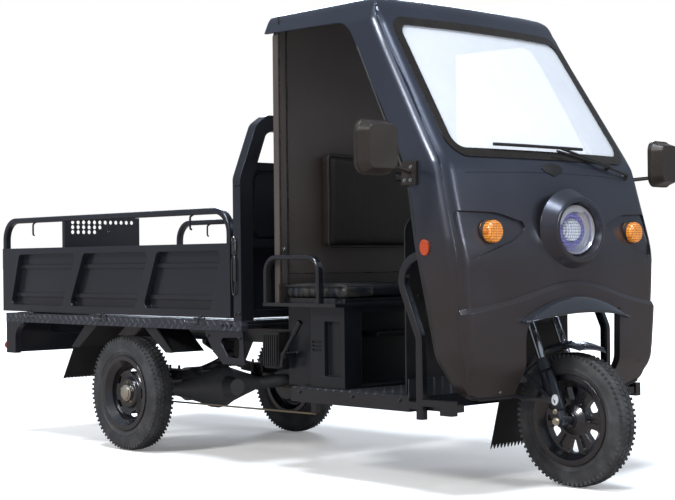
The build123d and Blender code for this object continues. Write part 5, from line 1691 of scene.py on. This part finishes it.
    def make_door_trim(self) -> None:
        """Lays a round rubber edge along each door opening."""
        skin = Surface("cab_shell")
        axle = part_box("front_wheel")
        ahead = (axle[0].x + axle[1].x) / 2
        corners = [
            (ahead - 1.120, 1.747), (ahead - 0.90, 1.7405), (ahead - 0.74, 1.727),
            (ahead - 0.635, 1.690), (ahead - 0.585, 1.640), (ahead - 0.50, 1.50),
            (ahead - 0.42, 1.37), (ahead - 0.34, 1.24), (ahead - 0.29, 1.13), (ahead - 0.255, 0.98),
            (ahead - 0.224, 0.80), (ahead - 0.192, 0.62), (ahead - 0.170, 0.50),
            (ahead - 0.152, 0.44), (ahead - 0.132, 0.39), (ahead - 0.116, 0.358),
        ]
        for side, word in SIDES:
            route = []
            for x, z in corners:
                found = skin.from_side(x + 0.010, z - 0.002, side)
                if found is not None and abs(found[0].y) > 0.4:
                    route.append(found[0] - Vector((0, side * 0.002, 0)))
            if len(route) > 3:
                self.shop.rods(f"door_trim_{word}", [route], self.trim_radius, "rubber")


# ------------------------------------------------------------------ upholstery and cab fittings
@dataclass
class Cushion:
    """A stuffed pad with a welt round its front edge."""

    shop: Workshop
    name: str
    node: str
    cover: str
    axis: int
    swell: float = 0.010
    welt: float = 0.0035
    corner: float = 0.030
    fill: float = 0.8
    grid: float = 0.010
    pressure: float = 4.0
    frames: int = 18

    def make(self) -> None:
        """Builds the pad in the place of its node, and its welt."""
        low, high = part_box(self.node)
        inset = Vector([self.swell * (0.25 if axis != self.axis else 0.5) for axis in range(3)])
        form = bmesh.new()
        Forms.block(form, low + inset * 0.6, high - inset)
        Forms.bevel(form, form.edges, width=self.corner * 0.45, segments=3)
        made = self.shop.piece(self.name, form, self.cover, smooth=radians(80))
        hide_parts(self.node)
        self._stuff(made, low, high)
        self._add_welt(low, high)

    def _stuff(self, made: bpy.types.Object, low: Vector, high: Vector) -> None:
        """Swells the pad with cloth under pressure, inside the space of its node.

        Args:
            made: The pad.
            low: The lowest corner of that space.
            high: The highest corner of that space.
        """
        remesh = made.modifiers.new("even", "REMESH")
        remesh.mode = "VOXEL"
        remesh.voxel_size = self.grid
        remesh.use_smooth_shade = True
        self._apply(made)
        start = [vertex.co.copy() for vertex in made.data.vertices]
        cloth = made.modifiers.new("stuffing", "CLOTH")
        cloth.settings.use_pressure = True
        cloth.settings.uniform_pressure_force = self.pressure
        cloth.settings.effector_weights.gravity = 0.0
        cloth.settings.quality = 5
        scene = bpy.context.scene
        for frame in range(1, self.frames + 1):
            scene.frame_set(frame)
        self._apply(made)
        scene.frame_set(1)
        for vertex, before in zip(made.data.vertices, start):
            shift = vertex.co - before
            if shift.length > self.swell:
                vertex.co = before + shift.normalized() * self.swell
            for axis in range(3):
                vertex.co[axis] = min(max(vertex.co[axis], low[axis]), high[axis])
        made.data.shade_smooth()
        made.data.update()

    @staticmethod
    def _apply(made: bpy.types.Object) -> None:
        """Makes the modifiers of a piece part of its mesh.

        Args:
            made: The piece.
        """
        bpy.context.view_layer.update()
        depsgraph = bpy.context.evaluated_depsgraph_get()
        mesh = bpy.data.meshes.new_from_object(made.evaluated_get(depsgraph))
        old = made.data
        made.modifiers.clear()
        made.data = mesh
        mesh.name = old.name + "_full"

    def _add_welt(self, low: Vector, high: Vector) -> None:
        """Lays a welt round the edge of the pad's front or upper face.

        Args:
            low: The lowest corner of the pad's space.
            high: The highest corner of the pad's space.
        """
        first, second = (axis for axis in range(3) if axis != self.axis)
        level = high[self.axis] - self.corner * 0.30
        route: list[Vector] = []
        reach = self.corner
        spans = ((low[first], high[first]), (low[second], high[second]))
        margin = self.welt * 1.4
        for corner_a, corner_b, order in ((0, 0, 0), (1, 0, 1), (1, 1, 0), (0, 1, 1)):
            a = spans[0][corner_a] + (margin if corner_a == 0 else -margin)
            b = spans[1][corner_b] + (margin if corner_b == 0 else -margin)
            way_a = reach if corner_a == 0 else -reach
            way_b = reach if corner_b == 0 else -reach
            near = [(a, b + way_b), (a, b + way_b * 0.3), (a + way_a * 0.3, b), (a + way_a, b)]
            for place in near if order == 0 else reversed(near):
                point = Vector((0, 0, 0))
                point[self.axis] = level
                point[first], point[second] = place
                route.append(point)
        self.shop.rods(self.name + "_welt", [route], self.welt, "piping", closed=True)


@dataclass
class Mirrors:
    """Glass plates in the mirror housings."""

    shop: Workshop
    turn: float = radians(5)
    width: float = 0.138
    height: float = 0.164
    behind_axle: float = 0.205
    outwards: float = 0.825
    height_above: float = 1.225
    depth: float = 0.0022
    corner: float = 0.030

    def make(self) -> None:
        """Adds a silvered plate behind each housing's rim."""
        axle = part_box("front_wheel")
        x = (axle[0].x + axle[1].x) / 2 - self.behind_axle
        for side, word in SIDES:
            form = bmesh.new()
            low = (0.0006, -self.width / 2, -self.height / 2)
            high = (0.0006 + self.depth, self.width / 2, self.height / 2)
            Forms.block(form, low, high)
            through = [
                edge
                for edge in form.edges
                if abs(edge.verts[0].co.x - edge.verts[1].co.x) > self.depth / 2
            ]
            Forms.bevel(form, through, width=self.corner, segments=6)
            place = Matrix.Translation((x, side * self.outwards, self.height_above))
            place = place @ Matrix.Rotation(side * self.turn, 4, "Z")
            bmesh.ops.transform(form, matrix=place, verts=form.verts)
            self.shop.piece(f"mirror_glass_{word}", form, "chrome")


# ------------------------------------------------------------------ cargo bed fittings
@dataclass
class BedFittings:
    """Rope hooks, latches, hinge pins and bolts of the cargo bed."""

    shop: Workshop
    hook_places: tuple[float, ...] = (0.143, 0.50, 0.84)
    hinge_places: tuple[float, ...] = (0.137, 0.467, 0.854)
    hinge_y: float = 0.5535
    hinge_z: float = 0.6035
    wire_radius: float = 0.0014
    frame_bolts: tuple[tuple[float, float], ...] = (
        (-0.045, 0.535), (0.165, 0.530), (0.020, 0.440), (0.36, 0.678), (0.70, 0.678),
        (0.50, 0.330), (0.80, 0.330), (1.05, 0.330),
    )
    rod: float = 0.0045
    latch_x: float = 0.142
    latch_y: float = 0.550
    latch_ring_radius: float = 0.0026
    latch_wire_radius: float = 0.0020

    def make_hooks(self) -> None:
        """Hangs J-shaped rope hooks under the hoops of both drop sides."""
        for word, body in (("right", Body.SIDE_RIGHT), ("left", Body.SIDE_LEFT)):
            low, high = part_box(f"side_hoop_{word}")
            top = high.z - 0.026
            y = (low.y + high.y) / 2
            routes = []
            for share in self.hook_places:
                x = low.x + share * (high.x - low.x)
                routes.append(
                    [
                        (x + 0.022, y, top + 0.002), (x + 0.004, y, top - 0.004),
                        (x, y, top - 0.012), (x, y, top - 0.050), (x + 0.002, y, top - 0.058),
                        (x + 0.010, y, top - 0.060),
                    ]
                )
            self.shop.rods(f"rope_hooks_{word}", routes, self.rod, "bed", body)

    def make_bolts(self) -> None:
        """Adds the bolt heads along the deck rail and the foot of the headboard."""
        board_low, board_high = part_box("headboard")
        form = bmesh.new()
        for side in (-1.0, 1.0):
            face = side * min(abs(board_low.y), board_high.y)
            out = Vector((0, side, 0))
            for x in (-0.020, -0.048, -0.076):
                Forms.bolt(form, Vector((board_low.x + x, face, 0.579)), out, size=0.013)
            for x in (0.016, 0.036):
                Forms.bolt(form, Vector((board_low.x + x, face, 0.628)), out, size=0.013)
                Forms.bolt(form, Vector((board_low.x + x, face, 1.150)), out, size=0.010)
        self.shop.piece("bed_bolts", form, "dark_steel")

    def make_hinge_wires(self) -> None:
        """Adds the bright wire that holds the pin of each side hinge, on the bed's own leaves."""
        for side, word in SIDES:
            low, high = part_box(f"side_hoop_{word}")
            pin_y = side * self.hinge_y
            wire_y = side * (self.hinge_y + self.wire_radius)
            routes = []
            for share in self.hinge_places:
                x = low.x + share * (high.x - low.x)
                routes.append(
                    [
                        (x - 0.0365, pin_y, self.hinge_z), (x - 0.0410, pin_y, self.hinge_z),
                        (x - 0.0410, wire_y, self.hinge_z - 0.012),
                        (x - 0.0340, wire_y, self.hinge_z - 0.018),
                        (x, wire_y, self.hinge_z - 0.015),
                        (x + 0.0340, wire_y, self.hinge_z - 0.018),
                        (x + 0.0410, wire_y, self.hinge_z - 0.012),
                        (x + 0.0410, pin_y, self.hinge_z), (x + 0.0365, pin_y, self.hinge_z),
                    ]
                )
            self.shop.rods(f"hinge_wires_{word}", routes, self.wire_radius, "steel")

    def make_latches(self) -> None:
        """Hangs the over-centre latch of each drop side on the headboard's post."""
        x = self.latch_x
        for side, word in SIDES:
            face = side * self.latch_y
            out = Vector((0, side, 0))
            form = bmesh.new()
            Forms.block(
                form, (x - 0.015, face, 0.868), (x + 0.015, face + side * 0.005, 0.930), edge=0.002
            )
            Forms.block(
                form, (x - 0.006, face, 0.760), (x + 0.008, face + side * 0.007, 0.868), edge=0.002
            )
            for z, radius, top in ((0.915, 0.006, 0.005), (0.880, 0.005, 0.004)):
                foot = Vector((x, face, z))
                Forms.disc(form, foot, out, radius=radius, height=0.009, sides=14, top_radius=top)
            self.shop.piece(f"latch_{word}", form, "dark_steel")
            ring = [
                (x - 0.011, face + side * 0.006, 0.862), (x + 0.011, face + side * 0.006, 0.862),
                (x + 0.014, face + side * 0.007, 0.800), (x + 0.009, face + side * 0.007, 0.715),
                (x, face + side * 0.006, 0.700), (x - 0.009, face + side * 0.007, 0.715),
                (x - 0.014, face + side * 0.007, 0.800),
            ]
            hook = [
                (x - 0.014, face + side * 0.004, 0.925), (x - 0.004, face + side * 0.007, 0.945),
                (x + 0.010, face + side * 0.006, 0.940), (x + 0.013, face + side * 0.006, 0.890),
            ]
            ring_radius = self.latch_ring_radius
            self.shop.rods(f"latch_ring_{word}", [ring], ring_radius, "dark_steel", closed=True)
            self.shop.rods(f"latch_wire_{word}", [hook], self.latch_wire_radius, "steel")

    def make_frame_bolts(self) -> None:
        """Adds bolts where the seat frame, the floor and the side plates are fixed."""
        form = bmesh.new()
        skin = Surface("side_plates", "chassis_frame", "seat_frame")
        for side in (-1.0, 1.0):
            for x, z in self.frame_bolts:
                found = skin.from_side(x, z, side)
                if found is not None:
                    Forms.bolt(form, found[0], found[1], size=0.014)
        self.shop.piece("frame_bolts", form, "dark_steel")


# ------------------------------------------------------------------ fork and wiper
@dataclass
class ForkFittings:
    """Guards on the fork's sleeves, the axle's nuts and the pale reflector."""

    shop: Workshop
    leg_y: float = 0.075
    guard_from: float = 0.040
    guard_to: float = 0.196
    guard_radius: float = 0.0245
    guard_depth: float = 1.26
    lean: float = 0.3927
    axle: Vector = field(init=False)
    along: Vector = field(init=False)
    ahead: Vector = field(init=False)

    def __post_init__(self) -> None:
        """Reads the axle's place and works out the way of the legs."""
        low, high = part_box("front_wheel")
        self.axle = (low + high) / 2
        self.along = Vector((-sin(self.lean), 0, cos(self.lean)))
        self.ahead = Vector((cos(self.lean), 0, sin(self.lean)))

    def make_guards(self) -> None:
        """Builds the moulded guard of each sleeve, deeper than it is wide, with a shoulder."""
        outline = [
            (0.0205, self.guard_from - 0.004), (self.guard_radius * 0.86, self.guard_from),
            (self.guard_radius * 0.92, self.guard_from + 0.030),
            (self.guard_radius, self.guard_from + 0.090),
            (self.guard_radius, self.guard_to - 0.012),
            (self.guard_radius * 0.92, self.guard_to - 0.004), (0.0205, self.guard_to),
        ]
        stretch = Matrix.Scale(self.guard_depth, 4, self.ahead)
        for side, word in SIDES:
            form = bmesh.new()
            foot = self.axle + Vector((0, side * self.leg_y, 0))
            Forms.spun(form, outline, foot, self.along, steps=40, closed=True)
            bmesh.ops.transform(form, matrix=stretch, space=Matrix.Translation(-foot), verts=form.verts)
            self.shop.piece(f"fork_guard_{word}", form, "bed", Body.STEERING, smooth=radians(50))

    def make_reflectors(self) -> None:
        """Sets a bare oval reflector on the outer side of each guard."""
        form = bmesh.new()
        way = (self.ahead * 0.55 + Vector((0, -1, 0)) * 0.84).normalized()
        for side in (-1.0, 1.0):
            out = Vector((way.x, way.y * -side, way.z))
            foot = self.axle + Vector((0, side * self.leg_y, 0)) + self.along * 0.078
            foot += out * (self.guard_radius * 1.02)
            Forms.disc(
                form, foot, out, radius=0.0135, height=0.0040, sides=28, top_radius=0.0115, oval=1.55
            )
        self.shop.piece("fork_reflectors", form, "pale_plate", Body.STEERING, smooth=radians(40))

    def make_nuts(self) -> None:
        """Adds the axle nut and the clamp bolt of each leg."""
        form = bmesh.new()
        fork = Surface("fork")
        for side in (-1.0, 1.0):
            for x, z, size in ((0.0, 0.0, 0.024), (-0.016, 0.034, 0.016)):
                found = fork.from_side(self.axle.x + x, self.axle.z + z, side)
                if found is not None and abs(found[0].y) > 0.05:
                    Forms.bolt(form, found[0], Vector((0, side, 0)), size=size)
        self.shop.piece("fork_nuts", form, "cream", Body.STEERING)


@dataclass
class WallTrim:
    """Edge strips, a seam and two screws on the front of the cab's rear wall."""

    shop: Workshop
    strip_radius: float = 0.0030
    strip_inset: tuple[float, ...] = (0.006, 0.046)
    seam_z: float = 0.790
    seam_radius: float = 0.0014
    screw_z: float = 0.886

    def make(self) -> None:
        """Builds the strips of both edges, the seam and the screws."""
        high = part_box("back_wall")[1]
        face = high.x
        routes = []
        for side in (-1.0, 1.0):
            for inset in self.strip_inset:
                y = side * (high.y - inset)
                routes.append([(face, y, 0.705), (face, y, high.z - 0.030)])
        self.shop.rods("wall_strips", routes, self.strip_radius, "seal")
        inner = high.y - self.strip_inset[1]
        seam = [(face - 0.0006, -inner, self.seam_z), (face - 0.0006, inner, self.seam_z)]
        self.shop.rods("wall_seam", [seam], self.seam_radius, "seal")
        form = bmesh.new()
        for side in (-1.0, 1.0):
            foot = Vector((face, side * (high.y - 0.026), self.screw_z))
            Forms.disc(form, foot, Vector((1, 0, 0)), radius=0.0105, height=0.0020, sides=24)
            Forms.disc(
                form, foot, Vector((1, 0, 0)), radius=0.0080, height=0.0055, sides=24, top_radius=0.0060
            )
        self.shop.piece("wall_screws", form, "steel")


@dataclass
class WiperArm:
    """The sprung arm of the wiper, from its spindle on the mask to its blade."""

    shop: Workshop
    spindle_y: float = 0.455
    spindle_z: float = 1.158
    radius: float = 0.0042

    def make(self) -> None:
        """Builds the spindle's boss and the arm."""
        skin = Surface("cab_shell")
        blade_low, blade_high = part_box("wiper")
        found = skin.from_front(self.spindle_y, self.spindle_z)
        if found is None:
            return
        foot, out = found
        form = bmesh.new()
        Forms.disc(
            form, foot - out * 0.001, out, radius=0.017, height=0.010, sides=28, top_radius=0.014
        )
        Forms.disc(
            form, foot + out * 0.009, out, radius=0.011, height=0.008, sides=24, top_radius=0.009
        )
        self.shop.piece("wiper_boss", form, "black_plastic", smooth=radians(40))
        end = Vector(((blade_low.x + blade_high.x) / 2 + 0.012, 0.02, blade_high.z - 0.020))
        start = foot + out * 0.014
        middle = (start + end) / 2 + Vector((0.022, 0, 0.006))
        self.shop.rods("wiper_arm", [[start, middle, end]], self.radius, "black_plastic")


# ------------------------------------------------------------------ finishes by use
class Wardrobe:
    """All finishes of the vehicle with their slots, by the name of their use."""

    node_finishes: ClassVar[dict[str, tuple[str, ...]]] = {
        "shell": ("cab_shell",),
        "shell_gloss": ("nose_visor", "front_fender"),
        "tread_plate": ("bed_deck",),
        "bed": (
            "headboard", "side_panel_right", "side_panel_left", "side_hoop_right", "side_hoop_left",
            "tailgate", "tail_box", "side_plates",
        ),
        "box": ("seat_box",),
        "chassis": (
            "chassis_frame", "leaf_springs", "seat_frame", "armrests", "leg_guards", "handlebar",
            "handbrake_lever",
        ),
        "cast": ("rear_axle", "drive_motor"),
        "floor_plate": ("floor_pan",),
        "fork": ("fork",),
        "wheel": ("front_wheel", "rear_wheel_right", "rear_wheel_left"),
        "rubber": ("front_mudflap", "rear_mudflaps"),
        "seal": ("windshield_seal",),
        "glass": ("windshield_glass",),
        "amber": ("signal_lamps",),
        "red": ("tail_lamps",),
        "black_plastic": ("wiper", "inner_cowl", "controller_box"),
        "mirror_plastic": ("mirrors",),
        "wall": ("back_wall",),
        "bronze": ("brake_rods",),
    }

    def __init__(self, steering_foot: Point, rake: float) -> None:
        """Builds every finish.

        Args:
            steering_foot: A point on the steering axis.
            rake: The lean of the steering axis in radians.
        """
        makers = {
            # The shell's brown low colour and bluish high colour are painted reflections of the floor
            # and of the bluish light above.
            "shell": Paint(
                "shell_paint", "shell_paint", (0.026, 0.029, 0.042), (0.030, 0.021, 0.016),
                warm_below=0.66, cool_above=1.24, roughness=0.30, metallic=0.30, shine=1.0,
                coat=0.35, coat_roughness=0.16, tint=(0.74, 0.82, 1.0),
            ),
            "shell_gloss": Paint(
                "fender_paint", "shell_paint", (0.050, 0.055, 0.070), (0.046, 0.049, 0.060),
                roughness=0.20, metallic=0.6, coat=1.0, coat_roughness=0.06, tint=(0.78, 0.85, 1.0),
            ),
            "bed": Paint(
                "bed_paint", "bed_paint", (0.020, 0.021, 0.028), (0.017, 0.018, 0.024),
                roughness=0.30, metallic=0.45, tint=(0.85, 0.9, 1.0), coat=0.45, coat_roughness=0.14,
                edge=0.005, shine=1.0,
            ),
            "box": Paint(
                "seat_box_paint", "bed_paint", (0.012, 0.014, 0.019), (0.010, 0.012, 0.016),
                roughness=0.32, metallic=0.40, coat=0.4, coat_roughness=0.18, edge=0.006,
            ),
            "chassis": Paint(
                "chassis_paint", "chassis_paint", (0.013, 0.014, 0.019), (0.011, 0.012, 0.016),
                roughness=0.24, metallic=0.45, coat=0.8, coat_roughness=0.10, edge=0.005, shine=1.0,
            ),
            "cast": Paint(
                "cast_housing", "chassis_paint", (0.150, 0.150, 0.155), (0.120, 0.120, 0.124),
                roughness=0.38, metallic=0.35, peel_scale=160.0, peel_depth=0.0006, dust=0.35,
                edge=0.005,
            ),
            "wheel": Paint(
                "wheel_paint", "wheel_paint", (0.008, 0.008, 0.011), (0.008, 0.008, 0.011),
                roughness=0.24, metallic=0.1, coat=1.0, coat_roughness=0.10, dust=0.25, edge=0.006,
                shine=1.0,
            ),
            "wall": Paint(
                "wall_paint", "wall_paint", (0.072, 0.058, 0.050), (0.080, 0.064, 0.056),
                warm_below=0.6, cool_above=1.7, roughness=0.48, metallic=0.15, dust=0.04,
            ),
            "tread_plate": TreadPlate(
                "deck_tread_plate", "bed_paint", (0.036, 0.038, 0.048), (0.16, 0.17, 0.19),
                across_axis=2,
            ),
            "floor_plate": TreadPlate(
                "floor_tread_plate", "chassis_paint", (0.024, 0.025, 0.031), (0.22, 0.23, 0.25),
            ),
            "tyre": Rubber(
                "tyre_rubber", "tyre", (0.026, 0.026, 0.028), (0.105, 0.103, 0.104), dust=0.60,
                roughness=0.56,
            ),
            "rubber": Rubber(
                "flap_rubber", "rubber", (0.010, 0.010, 0.011), (0.030, 0.030, 0.031), roughness=0.55,
            ),
            "seal": Rubber(
                "seal_rubber", "rubber", (0.014, 0.011, 0.009), (0.034, 0.028, 0.024), roughness=0.26,
            ),
            "black_plastic": Plastic(
                "black_plastic", "plastic", (0.012, 0.012, 0.013), (0.030, 0.029, 0.028),
            ),
            "mirror_plastic": Plastic(
                "mirror_plastic", "plastic", (0.024, 0.018, 0.015), (0.045, 0.036, 0.030),
                roughness=0.32, edge=0.006,
            ),
            "back_vinyl": Vinyl(
                "back_vinyl", "vinyl", (0.013, 0.0095, 0.0075), (0.022, 0.016, 0.013), roughness=0.40,
            ),
            "seat_vinyl": Vinyl(
                "seat_vinyl", "vinyl", (0.007, 0.009, 0.015), (0.014, 0.018, 0.030), roughness=0.30,
                loose_from=-0.335,
            ),
            "piping": Vinyl(
                "welt_vinyl", "vinyl", (0.015, 0.013, 0.012), (0.040, 0.034, 0.030),
                crease_depth=0.0002,
            ),
            "steel": Metal("zinc_steel", "fork_metal", (0.62, 0.62, 0.60), (0.35, 0.31, 0.25)),
            "dark_steel": Metal(
                "black_zinc", "fork_metal", (0.16, 0.16, 0.17), (0.10, 0.09, 0.08), roughness=0.34,
            ),
            "cream": Metal(
                "cream_zinc", "fork_metal", (0.80, 0.74, 0.62), (0.56, 0.46, 0.34), stain=0.4,
                roughness=0.36,
            ),
            "bronze": Metal(
                "gilt_zinc", "fork_metal", (0.50, 0.42, 0.30), (0.36, 0.27, 0.16), roughness=0.34,
            ),
            "pale_plate": Plastic(
                "pale_reflector", "plastic", (0.62, 0.63, 0.66), (0.78, 0.79, 0.80), roughness=0.25,
            ),
            "silvered": Metal(
                "silvered_plastic", "chrome", (0.95, 0.96, 1.0), (0.6, 0.6, 0.64), stain=0.15,
                roughness=0.30,
            ),
            "chrome": Metal(
                "chrome_plate", "chrome", (0.86, 0.87, 0.90), (0.7, 0.7, 0.72),
                stain=0.1, roughness=0.07,
            ),
            "amber": Lens(
                "amber_lens", "amber", (0.95, 0.36, 0.05), (0.42, 0.09, 0.012), emission=0.06,
                rear_colour=(0.36, 0.030, 0.008), rear_from=1.36,
            ),
            "red": Lens("red_lens", "red", (0.45, 0.02, 0.02), (0.12, 0.004, 0.004), emission=0.02),
            "clear_lens": Lens(
                "clear_lens", "glass", (0.80, 0.84, 0.92), (0.20, 0.22, 0.30), pillow_pitch=0.011,
            ),
            "blue_lens": Lens(
                "blue_lens", "glass", (0.17, 0.15, 0.52), (0.030, 0.025, 0.17), pillow_pitch=0.013,
            ),
            "glass": Glass("windshield_glass", "glass"),
            "pane": Glass("lamp_pane", "glass", clear=0.05, reflection_haze=0.03),
            "fork": ForkFinish("fork_finish", "fork_metal", steering_foot, rake),
        }
        self.finishes = {name: maker.make() for name, maker in makers.items()}
        self.slots = {name: maker.slot for name, maker in makers.items()}

    def dress(self, nodes: dict[str, bpy.types.Object]) -> None:
        """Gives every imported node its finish.

        Args:
            nodes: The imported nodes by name.
        """
        for use, names in self.node_finishes.items():
            for name in names:
                mesh = nodes[name].data
                mesh.materials.clear()
                mesh.materials.append(self.finishes[use])
            LOG.info("%s on %s", use, ", ".join(names))


def main() -> None:
    """Builds the classes in order, dresses the nodes and sets up the studio."""
    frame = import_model()
    studio = Studio()
    studio.make_camera()
    studio.make_floor()
    studio.make_world()
    studio.make_lights()
    steering = next(joint for joint in frame["joints"] if joint["name"] == "steering")
    axis = steering["axis"]
    wardrobe = Wardrobe(tuple(steering["pos_m"]), atan2(-axis[0], axis[2]))
    wardrobe.dress(frame["nodes"])
    shop = Workshop(wardrobe)
    for tyre, wheel, body, outward in (
        ("front_tyre", "front_wheel", Body.FRONT_WHEEL, -1.0),
        ("rear_tyre_right", "rear_wheel_right", Body.WHEEL_RIGHT, -1.0),
        ("rear_tyre_left", "rear_wheel_left", Body.WHEEL_LEFT, 1.0),
    ):
        Tyre(shop, tyre, body).make()
        fittings = WheelFittings(shop, wheel, body, outward)
        fittings.make_valve()
        if body is not Body.FRONT_WHEEL:
            fittings.make_nuts()
            fittings.make_cap()
    CabSkin(shop).make()
    mask = Mask(shop)
    mask.make_headlight()
    mask.make_signal_bezels()
    mask.make_visor()
    mask.make_badge()
    mask.make_bracket_screws()
    mask.make_door_trim()
    mask.make_foot_trim()
    Cushion(shop, "back_cushion_pad", "back_cushion", "back_vinyl", 0).make()
    Cushion(shop, "seat_cushion_pad", "seat_cushion", "seat_vinyl", 2).make()
    Mirrors(shop).make()
    fork = ForkFittings(shop)
    fork.make_guards()
    fork.make_reflectors()
    fork.make_nuts()
    WiperArm(shop).make()
    WallTrim(shop).make()
    bed = BedFittings(shop)
    bed.make_hooks()
    bed.make_bolts()
    bed.make_hinge_wires()
    bed.make_latches()
    bed.make_frame_bolts()
    bpy.context.scene.view_settings.view_transform = "Standard"
    LOG.info("%d pieces made", shop.count)


if __name__ == "__main__":
    main()
